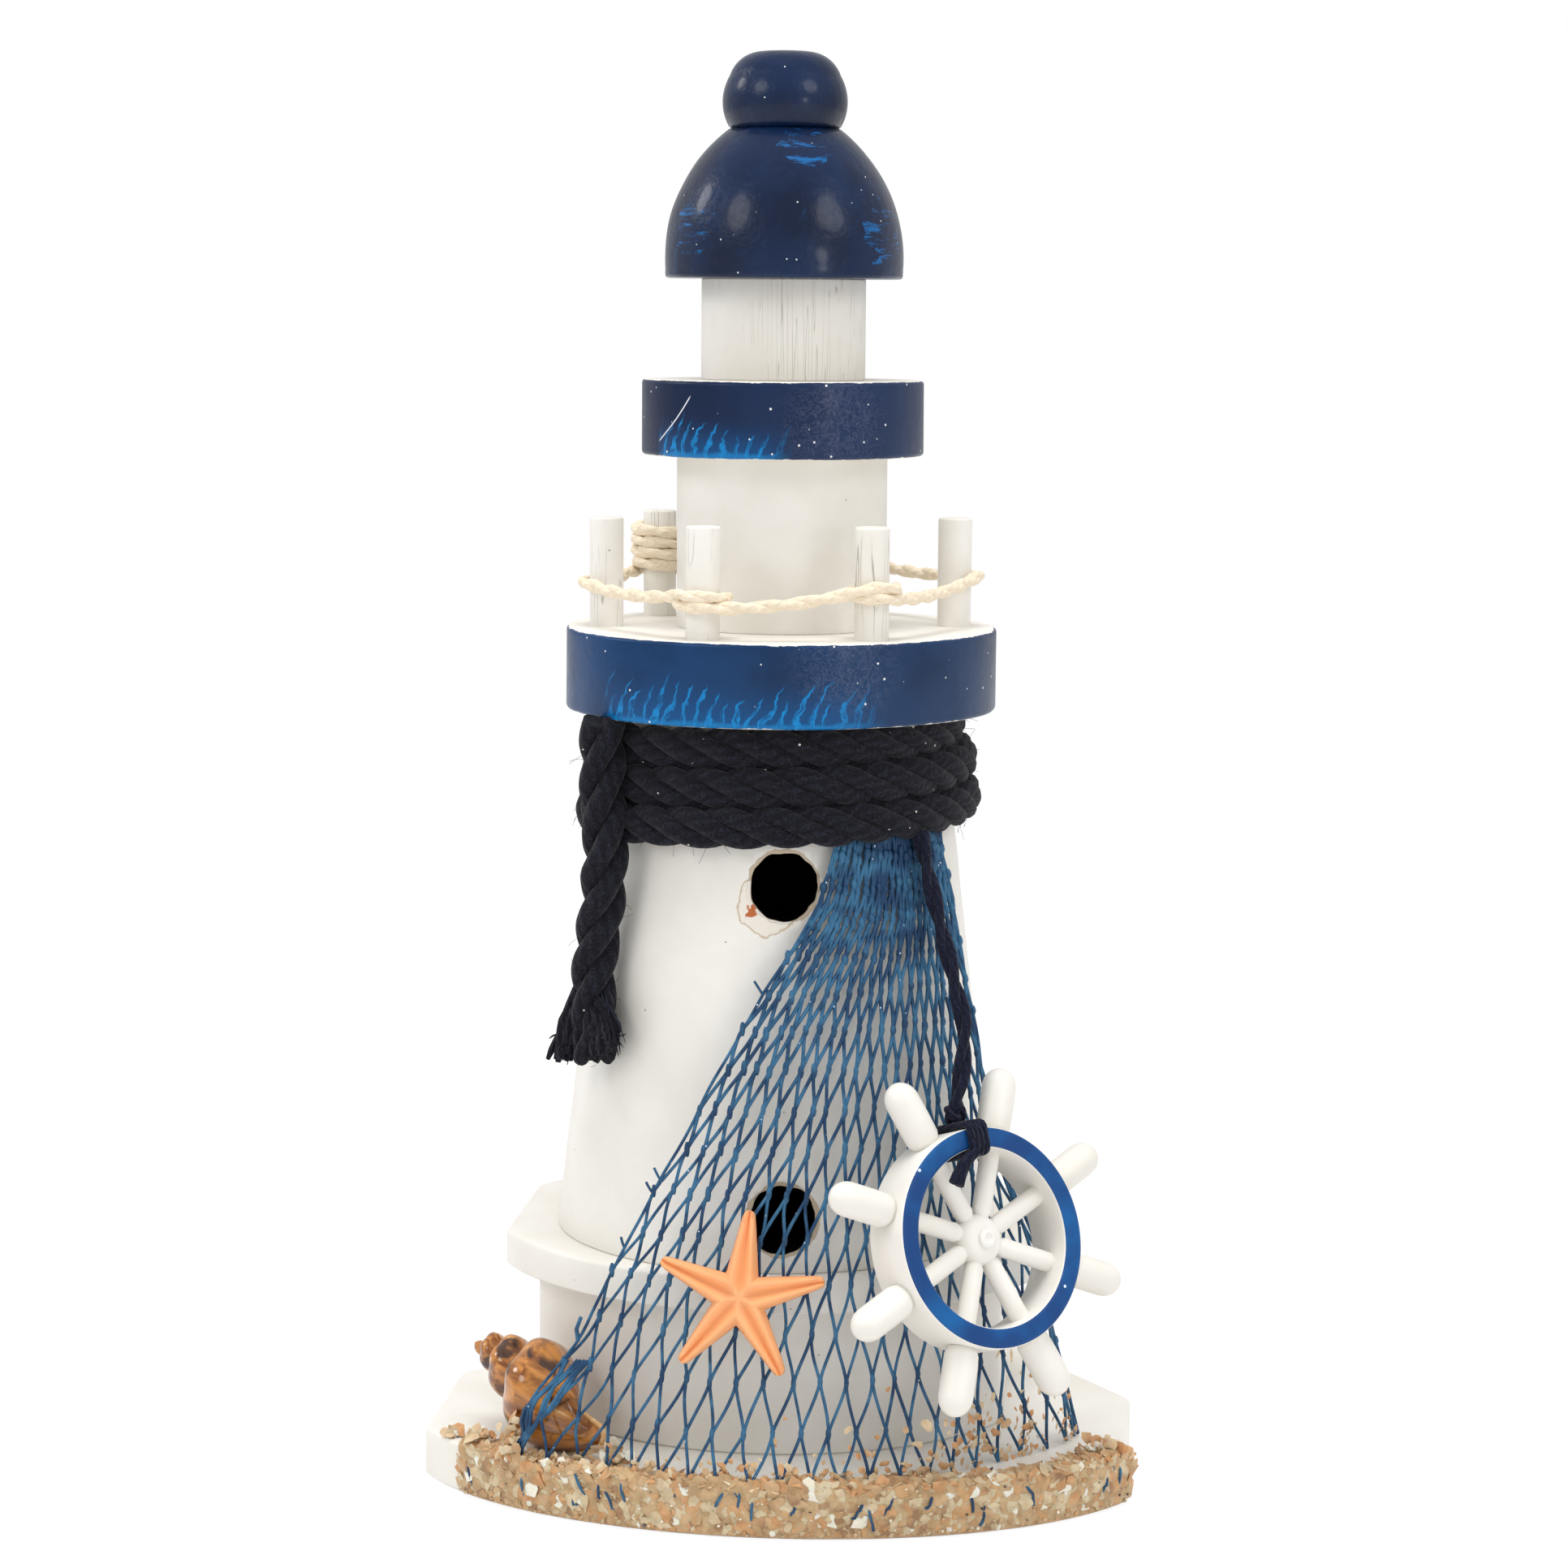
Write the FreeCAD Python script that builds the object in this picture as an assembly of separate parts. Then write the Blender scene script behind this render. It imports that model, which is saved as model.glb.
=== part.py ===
"""Painted wooden lighthouse figurine with a rope railing, a net and a hanging ship's wheel."""

import FreeCAD
import Part
import math
import os

# Frame: millimetres, Z up, origin on the tower's axis at the underside of the base board.
# The front of the base faces -Y. Azimuths are in degrees from the front towards +X.

# Shared fits
glue_gap = 0.05
cut_overrun = 1.0

# Free cords: sides of their tubes, and how far an arc reaches along the shorter run beside it
free_cord_sides = 8
cord_arc_share = 0.45

# Stack of turned and sawn pieces, from the bottom up
base_thickness = 8.8
block_height = 26.9
platform_thickness = 6.5
tower_height = 95.1
lower_gallery_thickness = 14.6
watch_room_height = 30.9
upper_gallery_thickness = 13.4
lantern_height = 17.9
dome_height = 26.3
knob_height = 13.6

# Base board with a bowed front; the bow is part of an ellipse wider than the board by the margin
base_half_width = 63.0
base_front = 56.0
base_bow_margin = 5.0
base_bow_depth = 45.0
base_side_end = 6.0
base_back = 50.0
base_back_half_width = 32.0
base_shift = 2.6

# Platform board, and the block under it that steps in all round
platform_half_width = 48.0
platform_front = 43.0
platform_bow_margin = 6.0
platform_bow_depth = 53.0
platform_side_end = 20.5
platform_back = 42.0
platform_back_half_width = 33.5
block_step = 5.8

# Tower and its two round windows
tower_foot_radius = 40.2
tower_top_radius = 29.4
window_radius = 6.0
window_depth = 14.0
upper_window_height = 109.3
lower_window_height = 51.6
window_azimuth = 7.5

# Galleries, watch room, lantern, dome and knob
lower_gallery_radius = 38.8
upper_gallery_radius = 25.3
gallery_edge_bevel = 0.9
stack_sides = 48
watch_room_radius = 18.9
lantern_radius = 14.7
dome_radius = 21.0
dome_rim_height = 1.6
dome_shoulder_radius = 18.3
dome_shoulder_height = 14.6
dome_neck_radius = 9.9
dome_sides = 40
dome_steps = 6
knob_radius = 11.1
knob_foot_radius = 10.1
knob_widest_height = 4.7
knob_shoulder_radius = 9.9
knob_shoulder_height = 9.4
knob_brow_radius = 7.7
knob_brow_height = 12.4
knob_flat_radius = 4.4
knob_sides = 32
knob_steps = 3

# Hidden locating dowels, the knob's tenon and the screws from underneath
dowel_radius = 4.0
dowel_sides = 16
lower_dowel_in_block = 16.0
lower_dowel_in_tower = 22.0
gallery_dowel_in_tower = 18.0
gallery_dowel_in_watch_room = 14.0
upper_dowel_in_watch_room = 12.0
upper_dowel_in_dome = 9.0
tenon_radius = 3.0
tenon_length = 6.0
screw_shank_radius = 1.6
screw_head_radius = 3.4
screw_head_depth = 2.2
screw_recess = 0.4
screw_length = 25.0
screw_spacing = 44.0
screw_sides = 12

# Railing posts
post_radius = 3.0
post_sides = 16
post_rise = 19.6
post_seat_depth = 7.0
post_inset = 7.3
post_azimuths = (-19.5, 36.0, 101.0, 155.0, 232.0, 280.0)

# Railing cord: several turns round the fifth post, then once round the outside of all posts
railing_cord_diameter = 2.0
railing_turns = 3
railing_turn_pitch = 2.45
railing_cord_drop = 11.6
railing_cord_gap = 0.1
railing_cord_sides = 4

# Rope wound round the top of the tower
rope_diameter = 3.9
rope_turns = 4
rope_pitch = 4.6
rope_top_drop = 2.1
rope_seat_gap = 0.2
rope_start_azimuth = 170.0
rope_sides = 5

# Loose end of the rope, hanging over the turns from under the gallery. Each bend has its
# azimuth, its drop below the gallery and the distance of the rope's middle from the tower.
tail_diameter = 5.4
tail_bends = (
    (-47.7, 0.2, 9.23),
    (-48.2, 11.8, 8.00),
    (-45.6, 23.8, 6.51),
    (-48.3, 35.3, 5.41),
    (-50.9, 46.8, 4.74),
    (-47.8, 60.3, 3.68),
)

# Net: one holed skin on a steep cone, from under the rope over the platform's front edge
net_rope_gap = 0.3
net_tower_gap = 1.75
net_platform_gap = 0.45
net_foot_lift = 0.3
net_thickness = 0.8
net_top_left_azimuth = 23.0
net_top_right_azimuth = 63.0
net_foot_left_azimuth = -27.0
net_foot_right_azimuth = 64.0
net_left_bow_angle = 14.0
net_columns = 10
net_rows = 6
net_strand_width_share = 0.17

# Ship's wheel. Its own frame has the wheel's front face at zero and its axle along the normal.
wheel_stand_off = 15.6
wheel_azimuth = 41.9
wheel_height = 52.0
wheel_normal_azimuth = 41.0
wheel_tilt_angle = 18.0
rim_outer_radius = 19.0
rim_wall = 3.6
rim_depth = 10.0
rim_sides = 48
peg_count = 8
peg_first_angle = 22.8
peg_setback = 4.7
peg_tip_radius = 30.8
handle_radius = 2.85
handle_round_length = 3.0
spoke_radius = 1.75
spoke_tenon_radius = 0.85
spoke_tenon_depth = 1.7
spoke_shoulder_gap = 0.3
peg_sides = 12
hub_radius = 4.4
hub_length = 7.0
hub_setback = 1.9
hub_round = 2.0
hub_sides = 16
pin_shank_radius = 0.8
pin_head_radius = 1.6
pin_crown_radius = 0.9
pin_head_height = 0.8
pin_seat_depth = 3.0
pin_sides = 12

# Cord that carries the wheel, from under the rope to the knot on the rim. Each bend has its
# azimuth, its share of the way down and its clear space to the net.
wheel_cord_diameter = 2.4
wheel_cord_tuck = 0.75
wheel_cord_knot_gap = 0.15
wheel_cord_bend_shares = (
    (49.5, 0.0, 0.48),
    (48.3, 0.26, 2.55),
    (48.1, 0.52, 5.3),
    (46.9, 0.76, 8.0),
)
loop_cord_diameter = 2.2
loop_cord_sides = 4
loop_angle = 90.0
loop_gap = 0.2
loop_corner_radius = 1.7
knot_radius = 2.1
knot_sides = 8

# Starfish on the net
star_radius = 15.0
star_inner_radius = 4.9
star_height = 40.7
star_azimuth = -1.0
star_first_angle = 85.0
star_arm_tip_half_width = 1.2
star_centre_thickness = 4.0
star_edge_thickness = 1.6
star_tip_thickness = 2.4
star_gap = 0.3

# Seashell lying against the block; its two ends are measured from the base board's top
shell_length = 34.0
shell_radius = 9.4
shell_apex = (-50.3, -23.6, 14.6)
shell_mouth = (-24.6, -44.2, 5.3)
shell_sides = 10
shell_profile_shares = (
    (0.00, 0.06), (0.05, 0.15), (0.09, 0.13), (0.16, 0.30), (0.21, 0.26),
    (0.31, 0.56), (0.36, 0.50), (0.50, 0.96), (0.58, 1.00), (0.70, 0.90),
    (0.85, 0.55), (1.00, 0.16),
)

# Crushed shell glued along the front edge of the base
sand_start_angle = -52.0
sand_end_angle = 66.0
sand_proud = 1.3
sand_depth = 5.0
sand_thickness = 1.6
sand_floor_gap = 0.8

# Heights of the stack
block_bottom = base_thickness
platform_bottom = block_bottom + block_height
tower_bottom = platform_bottom + platform_thickness
lower_gallery_bottom = tower_bottom + tower_height
watch_room_bottom = lower_gallery_bottom + lower_gallery_thickness
upper_gallery_bottom = watch_room_bottom + watch_room_height
lantern_bottom = upper_gallery_bottom + upper_gallery_thickness
dome_bottom = lantern_bottom + lantern_height
knob_bottom = dome_bottom + dome_height
net_foot_height = base_thickness + sand_thickness + net_foot_lift

X_AXIS = FreeCAD.Vector(1, 0, 0)
Z_AXIS = FreeCAD.Vector(0, 0, 1)


def polar(radius, azimuth, height):
    """Point at a distance from the tower's axis, at an azimuth from the front."""
    angle = math.radians(azimuth)
    return FreeCAD.Vector(radius * math.sin(angle), -radius * math.cos(angle), height)


def tower_radius_at(height):
    share = (height - tower_bottom) / tower_height
    return tower_foot_radius + (tower_top_radius - tower_foot_radius) * share


def turned(outline, sides):
    """Turned piece about the Z axis in flat facets, from its (radius, height) points."""
    rings = []
    for radius, height in outline:
        rings.append([polar(radius, 360.0 * k / sides, height) for k in range(sides)])
    corners = [rings[0], rings[-1]]
    for low, high in zip(rings, rings[1:]):
        for k in range(sides):
            corners.append([low[k - 1], low[k], high[k], high[k - 1]])
    faces = [Part.Face(Part.makePolygon(c + c[:1])) for c in corners]
    return Part.makeSolid(Part.makeShell(faces)).removeSplitter()


def profile_arc(start, middle, end, steps):
    """Points in even steps along the arc through three (radius, height) points."""
    arc = Part.Arc(*[FreeCAD.Vector(radius, 0, height) for radius, height in (start, middle, end)])
    return [(point.x, point.z) for point in arc.discretize(steps + 1)]


def dowel_hole(bottom, top):
    return turned([(dowel_radius + glue_gap, bottom), (dowel_radius + glue_gap, top)], dowel_sides)


def polyline(points):
    return [Part.LineSegment(a, b).toShape() for a, b in zip(points, points[1:])]


# Boards
def bow_edge(half_width, front, bow_margin, bow_depth):
    """Elliptic front edge between the two sides of a board."""
    centre = FreeCAD.Vector(0, bow_depth - front, 0)
    ellipse = Part.Ellipse(centre, half_width + bow_margin, bow_depth)
    swing = math.asin(half_width / (half_width + bow_margin))
    return Part.ArcOfEllipse(ellipse, 1.5 * math.pi - swing, 1.5 * math.pi + swing).toShape()


def bow_board(bottom, thickness, half_width, front, bow_margin, bow_depth,
              side_end, back, back_half_width):
    """Board with a bowed front, straight sides and cut rear corners."""
    bow = bow_edge(half_width, front, bow_margin, bow_depth)
    corner_y = bow.Vertexes[0].Point.y
    outline = polyline([
        FreeCAD.Vector(half_width, corner_y, 0),
        FreeCAD.Vector(half_width, side_end, 0),
        FreeCAD.Vector(back_half_width, back, 0),
        FreeCAD.Vector(-back_half_width, back, 0),
        FreeCAD.Vector(-half_width, side_end, 0),
        FreeCAD.Vector(-half_width, corner_y, 0),
    ])
    face = Part.Face(Part.Wire([bow] + outline))
    board = face.extrude(FreeCAD.Vector(0, 0, thickness))
    board.translate(FreeCAD.Vector(0, 0, bottom))
    return board


def platform_reach(azimuth):
    """Distance from the tower's axis to the platform's bowed front, at an azimuth."""
    across = math.sin(math.radians(azimuth)) / (platform_half_width + platform_bow_margin)
    ahead = math.cos(math.radians(azimuth)) / platform_bow_depth
    offset = 1 - platform_front / platform_bow_depth
    square = across ** 2 + ahead ** 2
    return (math.sqrt((ahead * offset) ** 2 + square * (1 - offset ** 2)) - ahead * offset) / square


def screw_points():
    return [FreeCAD.Vector(side * screw_spacing / 2, 0, 0) for side in (-1, 1)]


def base_board():
    board = bow_board(0, base_thickness, base_half_width, base_front, base_bow_margin,
                      base_bow_depth, base_side_end, base_back, base_back_half_width)
    board.translate(FreeCAD.Vector(base_shift, 0, 0))
    for point in screw_points():
        board = board.cut(screw_shape(point, glue_gap, -cut_overrun))
    return board


def base_block():
    block = bow_board(block_bottom, block_height, platform_half_width - block_step,
                      platform_front - block_step, platform_bow_margin,
                      platform_bow_depth - block_step, platform_side_end - block_step / 2,
                      platform_back - block_step, platform_back_half_width - block_step / 2)
    block = block.cut(dowel_hole(platform_bottom - lower_dowel_in_block,
                                 platform_bottom + cut_overrun))
    for point in screw_points():
        block = block.cut(screw_shape(point, glue_gap, -cut_overrun))
    return block


def platform_board():
    board = bow_board(platform_bottom, platform_thickness, platform_half_width, platform_front,
                      platform_bow_margin, platform_bow_depth, platform_side_end,
                      platform_back, platform_back_half_width)
    return board.cut(dowel_hole(platform_bottom - cut_overrun, tower_bottom + cut_overrun))


def screw_shape(point, allowance, bottom):
    """Screw from the underside, or the hole for it when an allowance is given."""
    head = screw_head_radius + allowance
    shank = screw_shank_radius + allowance
    shoulder = screw_recess + screw_head_depth
    outline = [(head, bottom), (head, shoulder), (shank, shoulder), (shank, screw_length + allowance)]
    screw = turned(outline, screw_sides)
    screw.translate(point)
    return screw


def base_screws():
    return Part.makeCompound([screw_shape(point, 0, screw_recess) for point in screw_points()])


# Turned pieces
def window_bore(height):
    outer = polar(tower_radius_at(height) + cut_overrun, window_azimuth, height)
    inner = polar(tower_radius_at(height) - window_depth, window_azimuth, height)
    return Part.makeCylinder(window_radius, (inner - outer).Length, outer, inner - outer)


def tower_body():
    body = turned([(tower_foot_radius, tower_bottom), (tower_top_radius, lower_gallery_bottom)],
                  stack_sides)
    for height in (upper_window_height, lower_window_height):
        body = body.cut(window_bore(height))
    foot_hole = dowel_hole(tower_bottom - cut_overrun, tower_bottom + lower_dowel_in_tower)
    top_hole = dowel_hole(lower_gallery_bottom - gallery_dowel_in_tower,
                          lower_gallery_bottom + cut_overrun)
    return body.cut(foot_hole).cut(top_hole)


def gallery(radius, bottom, thickness):
    """Disc with broken edges and a through hole for its dowel."""
    face = radius - gallery_edge_bevel
    top = bottom + thickness
    disc = turned([(face, bottom), (radius, bottom + gallery_edge_bevel),
                   (radius, top - gallery_edge_bevel), (face, top)], stack_sides)
    return disc.cut(dowel_hole(bottom - cut_overrun, bottom + thickness + cut_overrun))


def post_shape(azimuth, allowance, top):
    """Railing post up to a height, or the socket for it when an allowance is given."""
    radius = post_radius + allowance
    post = turned([(radius, watch_room_bottom - post_seat_depth), (radius, top)], post_sides)
    post.translate(post_place(azimuth))
    return post


def post_place(azimuth):
    return polar(lower_gallery_radius - post_inset, azimuth, 0)


def lower_gallery():
    disc = gallery(lower_gallery_radius, lower_gallery_bottom, lower_gallery_thickness)
    for azimuth in post_azimuths:
        disc = disc.cut(post_shape(azimuth, glue_gap, watch_room_bottom + cut_overrun))
    return disc


def watch_room():
    room = turned([(watch_room_radius, watch_room_bottom), (watch_room_radius, upper_gallery_bottom)],
                  stack_sides)
    low = dowel_hole(watch_room_bottom - cut_overrun,
                     watch_room_bottom + gallery_dowel_in_watch_room)
    high = dowel_hole(upper_gallery_bottom - upper_dowel_in_watch_room,
                      upper_gallery_bottom + cut_overrun)
    return room.cut(low).cut(high)


def upper_gallery():
    return gallery(upper_gallery_radius, upper_gallery_bottom, upper_gallery_thickness)


def lantern_room():
    room = turned([(lantern_radius, lantern_bottom), (lantern_radius, dome_bottom)], stack_sides)
    return room.cut(dowel_hole(lantern_bottom - cut_overrun, dome_bottom + cut_overrun))


def tenon_shape(allowance, bottom, top):
    radius = tenon_radius + allowance
    return turned([(radius, bottom), (radius, top)], dowel_sides)


def dome_roof():
    rim = (dome_radius, dome_bottom + dome_rim_height)
    shoulder = (dome_shoulder_radius, dome_bottom + dome_shoulder_height)
    neck = (dome_neck_radius, knob_bottom)
    outline = [(dome_radius, dome_bottom)] + profile_arc(rim, shoulder, neck, dome_steps)
    dome = turned(outline, dome_sides)
    dome = dome.cut(dowel_hole(dome_bottom - cut_overrun, dome_bottom + upper_dowel_in_dome))
    return dome.cut(tenon_shape(glue_gap, knob_bottom - tenon_length - glue_gap,
                                knob_bottom + cut_overrun))


def finial_knob():
    def at(radius, rise):
        return radius, knob_bottom + rise

    foot = at(knob_foot_radius, 0)
    widest = at(knob_radius, knob_widest_height)
    shoulder = at(knob_shoulder_radius, knob_shoulder_height)
    brow = at(knob_brow_radius, knob_brow_height)
    flat = at(knob_flat_radius, knob_height)
    outline = profile_arc(foot, widest, shoulder, knob_steps)
    outline += profile_arc(shoulder, brow, flat, knob_steps)[1:]
    tenon = tenon_shape(0, knob_bottom - tenon_length, knob_bottom + cut_overrun)
    return turned(outline, knob_sides).fuse(tenon).removeSplitter()


def dowel(bottom, top):
    return turned([(dowel_radius, bottom), (dowel_radius, top)], dowel_sides)


def lower_dowel():
    return dowel(platform_bottom - lower_dowel_in_block, tower_bottom + lower_dowel_in_tower)


def gallery_dowel():
    return dowel(lower_gallery_bottom - gallery_dowel_in_tower,
                 watch_room_bottom + gallery_dowel_in_watch_room)


def upper_dowel():
    return dowel(upper_gallery_bottom - upper_dowel_in_watch_room,
                 dome_bottom + upper_dowel_in_dome)


def railing_post(azimuth):
    return post_shape(azimuth, 0, watch_room_bottom + post_rise)


# Cords
def arc_between(start, control, end):
    """Arc that is tangent to start-control and control-end."""
    middle = (start + end) * 0.5
    cosine = (end - start).Length / 2 / (control - start).Length
    crest = middle + (control - middle) * (cosine / (1 + cosine))
    return Part.Arc(start, crest, end).toShape()


def biarc(start, start_direction, end, end_direction):
    """Two arcs in a row that leave and arrive along the given directions."""
    chord = end - start
    total = start_direction + end_direction
    spread = 2 * (1 - start_direction.dot(end_direction))
    along = chord.dot(total)
    reach = (-along + math.sqrt(along * along + spread * chord.dot(chord))) / spread
    first = start + start_direction * reach
    second = end - end_direction * reach
    joint = (first + second) * 0.5
    return [arc_between(start, first, joint), arc_between(joint, second, end)]


def cord_section(point, direction, aside, diameter, sides):
    """Many-sided section, square to the direction, as wide as the cord."""
    along = FreeCAD.Vector(direction).normalize()
    across = along.cross(aside).normalize()
    up = along.cross(across)
    corners = []
    for k in range(sides + 1):
        angle = 2 * math.pi * (k % sides) / sides
        corners.append(point + (across * math.cos(angle) + up * math.sin(angle)) * (diameter / 2))
    return Part.makePolygon(corners)


def swept(edges, aside, diameter, sides):
    """Cord along the edges; its section is turned to an axis that the path doesn't start along."""
    first = edges[0]
    start = first.valueAt(first.FirstParameter)
    direction = first.tangentAt(first.FirstParameter)
    section = cord_section(start, direction, aside, diameter, sides)
    return Part.Wire(edges).makePipeShell([section], True, False)


def section_area(diameter, sides):
    return sides / 2 * (diameter / 2) ** 2 * math.sin(2 * math.pi / sides)


def free_cord(name, points, diameter):
    """Tube of straight runs joined by arcs; prints its route, length and radii."""
    edges = []
    radii = []
    last = points[0]
    for before, corner, after in zip(points, points[1:], points[2:]):
        back = before - corner
        ahead = after - corner
        reach = cord_arc_share * min(back.Length, ahead.Length)
        half_turn = (math.pi - back.getAngle(ahead)) / 2
        radii.append(reach / math.tan(half_turn))
        back.normalize()
        ahead.normalize()
        start = corner + back * reach
        end = corner + ahead * reach
        edges.append(Part.LineSegment(last, start).toShape())
        edges.append(arc_between(start, corner, end))
        last = end
    edges.append(Part.LineSegment(last, points[-1]).toShape())
    tube = swept(edges, X_AXIS, diameter, free_cord_sides)
    length = sum(e.Length for e in edges)
    share = tube.Volume / (section_area(diameter, free_cord_sides) * length)
    print(name, "route", ["(%.2f, %.2f, %.2f)" % (p.x, p.y, p.z) for p in points])
    print(name, "length %.1f, volume share %.4f" % (length, share))
    print(name, "radii", ["%.1f" % r for r in radii])
    return tube


def helix_edges(place, turns):
    """Half-turn biarcs along place(turn), which gives a point for each number of turns."""
    pieces_per_turn = 2
    count = turns * pieces_per_turn
    nudge = 1 / 3600
    edges = []
    for k in range(count):
        a = k / pieces_per_turn
        b = (k + 1) / pieces_per_turn
        direction_a = (place(a + nudge) - place(a - nudge)).normalize()
        direction_b = (place(b + nudge) - place(b - nudge)).normalize()
        edges += biarc(place(a), direction_a, place(b), direction_b)
    return edges


def least_turn_gap(place, turns, diameter):
    """Least clear space between neighbouring turns, measured on points."""
    steps = 48
    count = turns * steps
    points = [place(k / steps) for k in range(count + 1)]
    least = None
    for i, point in enumerate(points):
        for other in points[i + steps // 2:]:
            gap = (other - point).Length - diameter
            least = gap if least is None else min(least, gap)
    return least


def rope_place(turn):
    height = lower_gallery_bottom - rope_top_drop - rope_pitch * turn
    radius = tower_radius_at(height) + rope_seat_gap + rope_diameter / 2
    return polar(radius, rope_start_azimuth - 360 * turn, height)


def rope_wrap():
    print("rope_wrap least gap %.2f" % least_turn_gap(rope_place, rope_turns, rope_diameter))
    return swept(helix_edges(rope_place, rope_turns), Z_AXIS, rope_diameter, rope_sides)


def rope_tail():
    points = []
    for azimuth, drop, distance in tail_bends:
        height = lower_gallery_bottom - drop
        points.append(polar(tower_radius_at(height) + distance, azimuth, height))
    return free_cord("rope_tail", points, tail_diameter)


def railing_cord():
    """Turns round the fifth post, then one closed course round the outside of every post."""
    post = post_place(post_azimuths[4])
    reach = post_radius + railing_cord_gap + railing_cord_diameter / 2
    course = watch_room_bottom + post_rise - railing_cord_drop
    order = [4, 5, 0, 1, 2, 3]
    centres = [post_place(post_azimuths[i]) + FreeCAD.Vector(0, 0, course) for i in order]
    tangents = []
    for here, following in zip(centres, centres[1:] + centres[:1]):
        along = (following - here).normalize()
        outward = along.cross(Z_AXIS) * reach
        tangents.append((here + outward, following + outward, outward))
    leave = tangents[0][2]
    start_angle = math.atan2(leave.y, leave.x)

    def winding(turn):
        """Even turns that level off over the last one, to leave along the course."""
        left = railing_turns - turn
        climb = left if left > 1 else 2 * left ** 2 - left ** 3
        angle = start_angle - 2 * math.pi * left
        around = FreeCAD.Vector(math.cos(angle), math.sin(angle), 0) * reach
        return post + around + Z_AXIS * (course + railing_turn_pitch * climb)

    gap = least_turn_gap(winding, railing_turns, railing_cord_diameter)
    print("railing_cord least gap %.2f" % gap)
    edges = helix_edges(winding, railing_turns)
    for i in range(len(order) - 1):
        leaving, arriving, outward = tangents[i]
        centre = centres[i + 1]
        edges.append(Part.LineSegment(leaving, arriving).toShape())
        if i + 1 < len(order):
            turned = (outward + tangents[i + 1][2]).normalize() * reach
            edges.append(Part.Arc(arriving, centre + turned, tangents[i + 1][0]).toShape())
    leaving, arriving, outward = tangents[-1]
    short_of_post = (arriving - leaving).normalize() * (2 * reach)
    edges.append(Part.LineSegment(leaving, arriving - short_of_post).toShape())
    return swept(edges, Z_AXIS, railing_cord_diameter, railing_cord_sides)


# Net
def net_top_height():
    """Just under the rope's last turn, where it passes over the net's left edge."""
    turn = rope_turns - 1 + (rope_start_azimuth - net_top_left_azimuth) / 360
    return rope_place(turn).z - rope_diameter / 2 - net_rope_gap


def net_radius_at(height):
    """Inside of the net's cone, which clears the tower at its top and the platform's edge."""
    top = net_top_height()
    top_radius = tower_radius_at(top) + net_tower_gap
    edge_radius = platform_reach(net_foot_right_azimuth) + net_platform_gap
    return edge_radius + (top_radius - edge_radius) * (height - tower_bottom) / (top - tower_bottom)


def net_slope():
    """How much the net's radius grows for each unit of height down."""
    top = net_top_height()
    return (net_radius_at(net_foot_height) - net_radius_at(top)) / (top - net_foot_height)


def net_cell_corners(column, row):
    """Corners of one gap, as shares across and down the net."""
    half_across = (1 - net_strand_width_share) / net_columns / 2
    half_down = (1 - net_strand_width_share) / net_rows
    across = (column + 0.5 + 0.5 * (row % 2)) / (net_columns + 0.5)
    down = (row + 1) / (net_rows + 1)
    return [
        (across - half_across, down),
        (across, down - half_down),
        (across + half_across, down),
        (across, down + half_down),
    ]


def fishing_net():
    """One holed face on a cone, thickened outwards."""
    top = net_top_height()
    foot_radius = net_radius_at(net_foot_height)
    top_radius = net_radius_at(top)
    slope_length = math.hypot(top - net_foot_height, foot_radius - top_radius)

    def skin(extra):
        cone = Part.Cone(
            FreeCAD.Vector(0, 0, net_foot_height), FreeCAD.Vector(0, 0, top),
            foot_radius + extra, top_radius + extra,
        )
        cone.rotate(FreeCAD.Placement(FreeCAD.Vector(0, 0, 0), Z_AXIS, 180))
        start = cone.value(0, 0)
        start_azimuth = math.atan2(start.x, -start.y)

        def place(across, down):
            left = net_top_left_azimuth + (net_foot_left_azimuth - net_top_left_azimuth) * down
            left -= net_left_bow_angle * math.sin(math.pi * down)
            right = net_top_right_azimuth + (net_foot_right_azimuth - net_top_right_azimuth) * down
            azimuth = left + (right - left) * across
            angle = (math.radians(azimuth) - start_azimuth) % (2 * math.pi)
            return FreeCAD.Base.Vector2d(angle, slope_length * (1 - down))

        def loop(corners):
            edges = []
            for a, b in zip(corners, corners[1:] + corners[:1]):
                line = Part.Geom2d.Line2dSegment(place(*a), place(*b))
                edges.append(line.toShape(cone))
            return edges

        outline = [(0, k / net_rows) for k in range(net_rows + 1)]
        outline += [(1, 1 - k / net_rows) for k in range(net_rows + 1)]
        loops = [loop(outline)]
        for row in range(net_rows):
            for column in range(net_columns):
                loops.append(loop(net_cell_corners(column, row)))
        wires = [Part.Wire(edges) for edges in loops]
        face = Part.Face(cone, wires[0])
        face.cutHoles(wires[1:])
        face.validate()
        return face, loops

    inner, inner_loops = skin(0)
    outer, outer_loops = skin(net_thickness)
    walls = []
    for low, high in zip(inner_loops, outer_loops):
        for a, b in zip(low, high):
            walls.append(Part.makeRuledSurface(a, b))
    shell = Part.makeCompound([inner, outer] + walls)
    shell.sewShape()
    return Part.makeSolid(shell.Shells[0])


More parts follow.
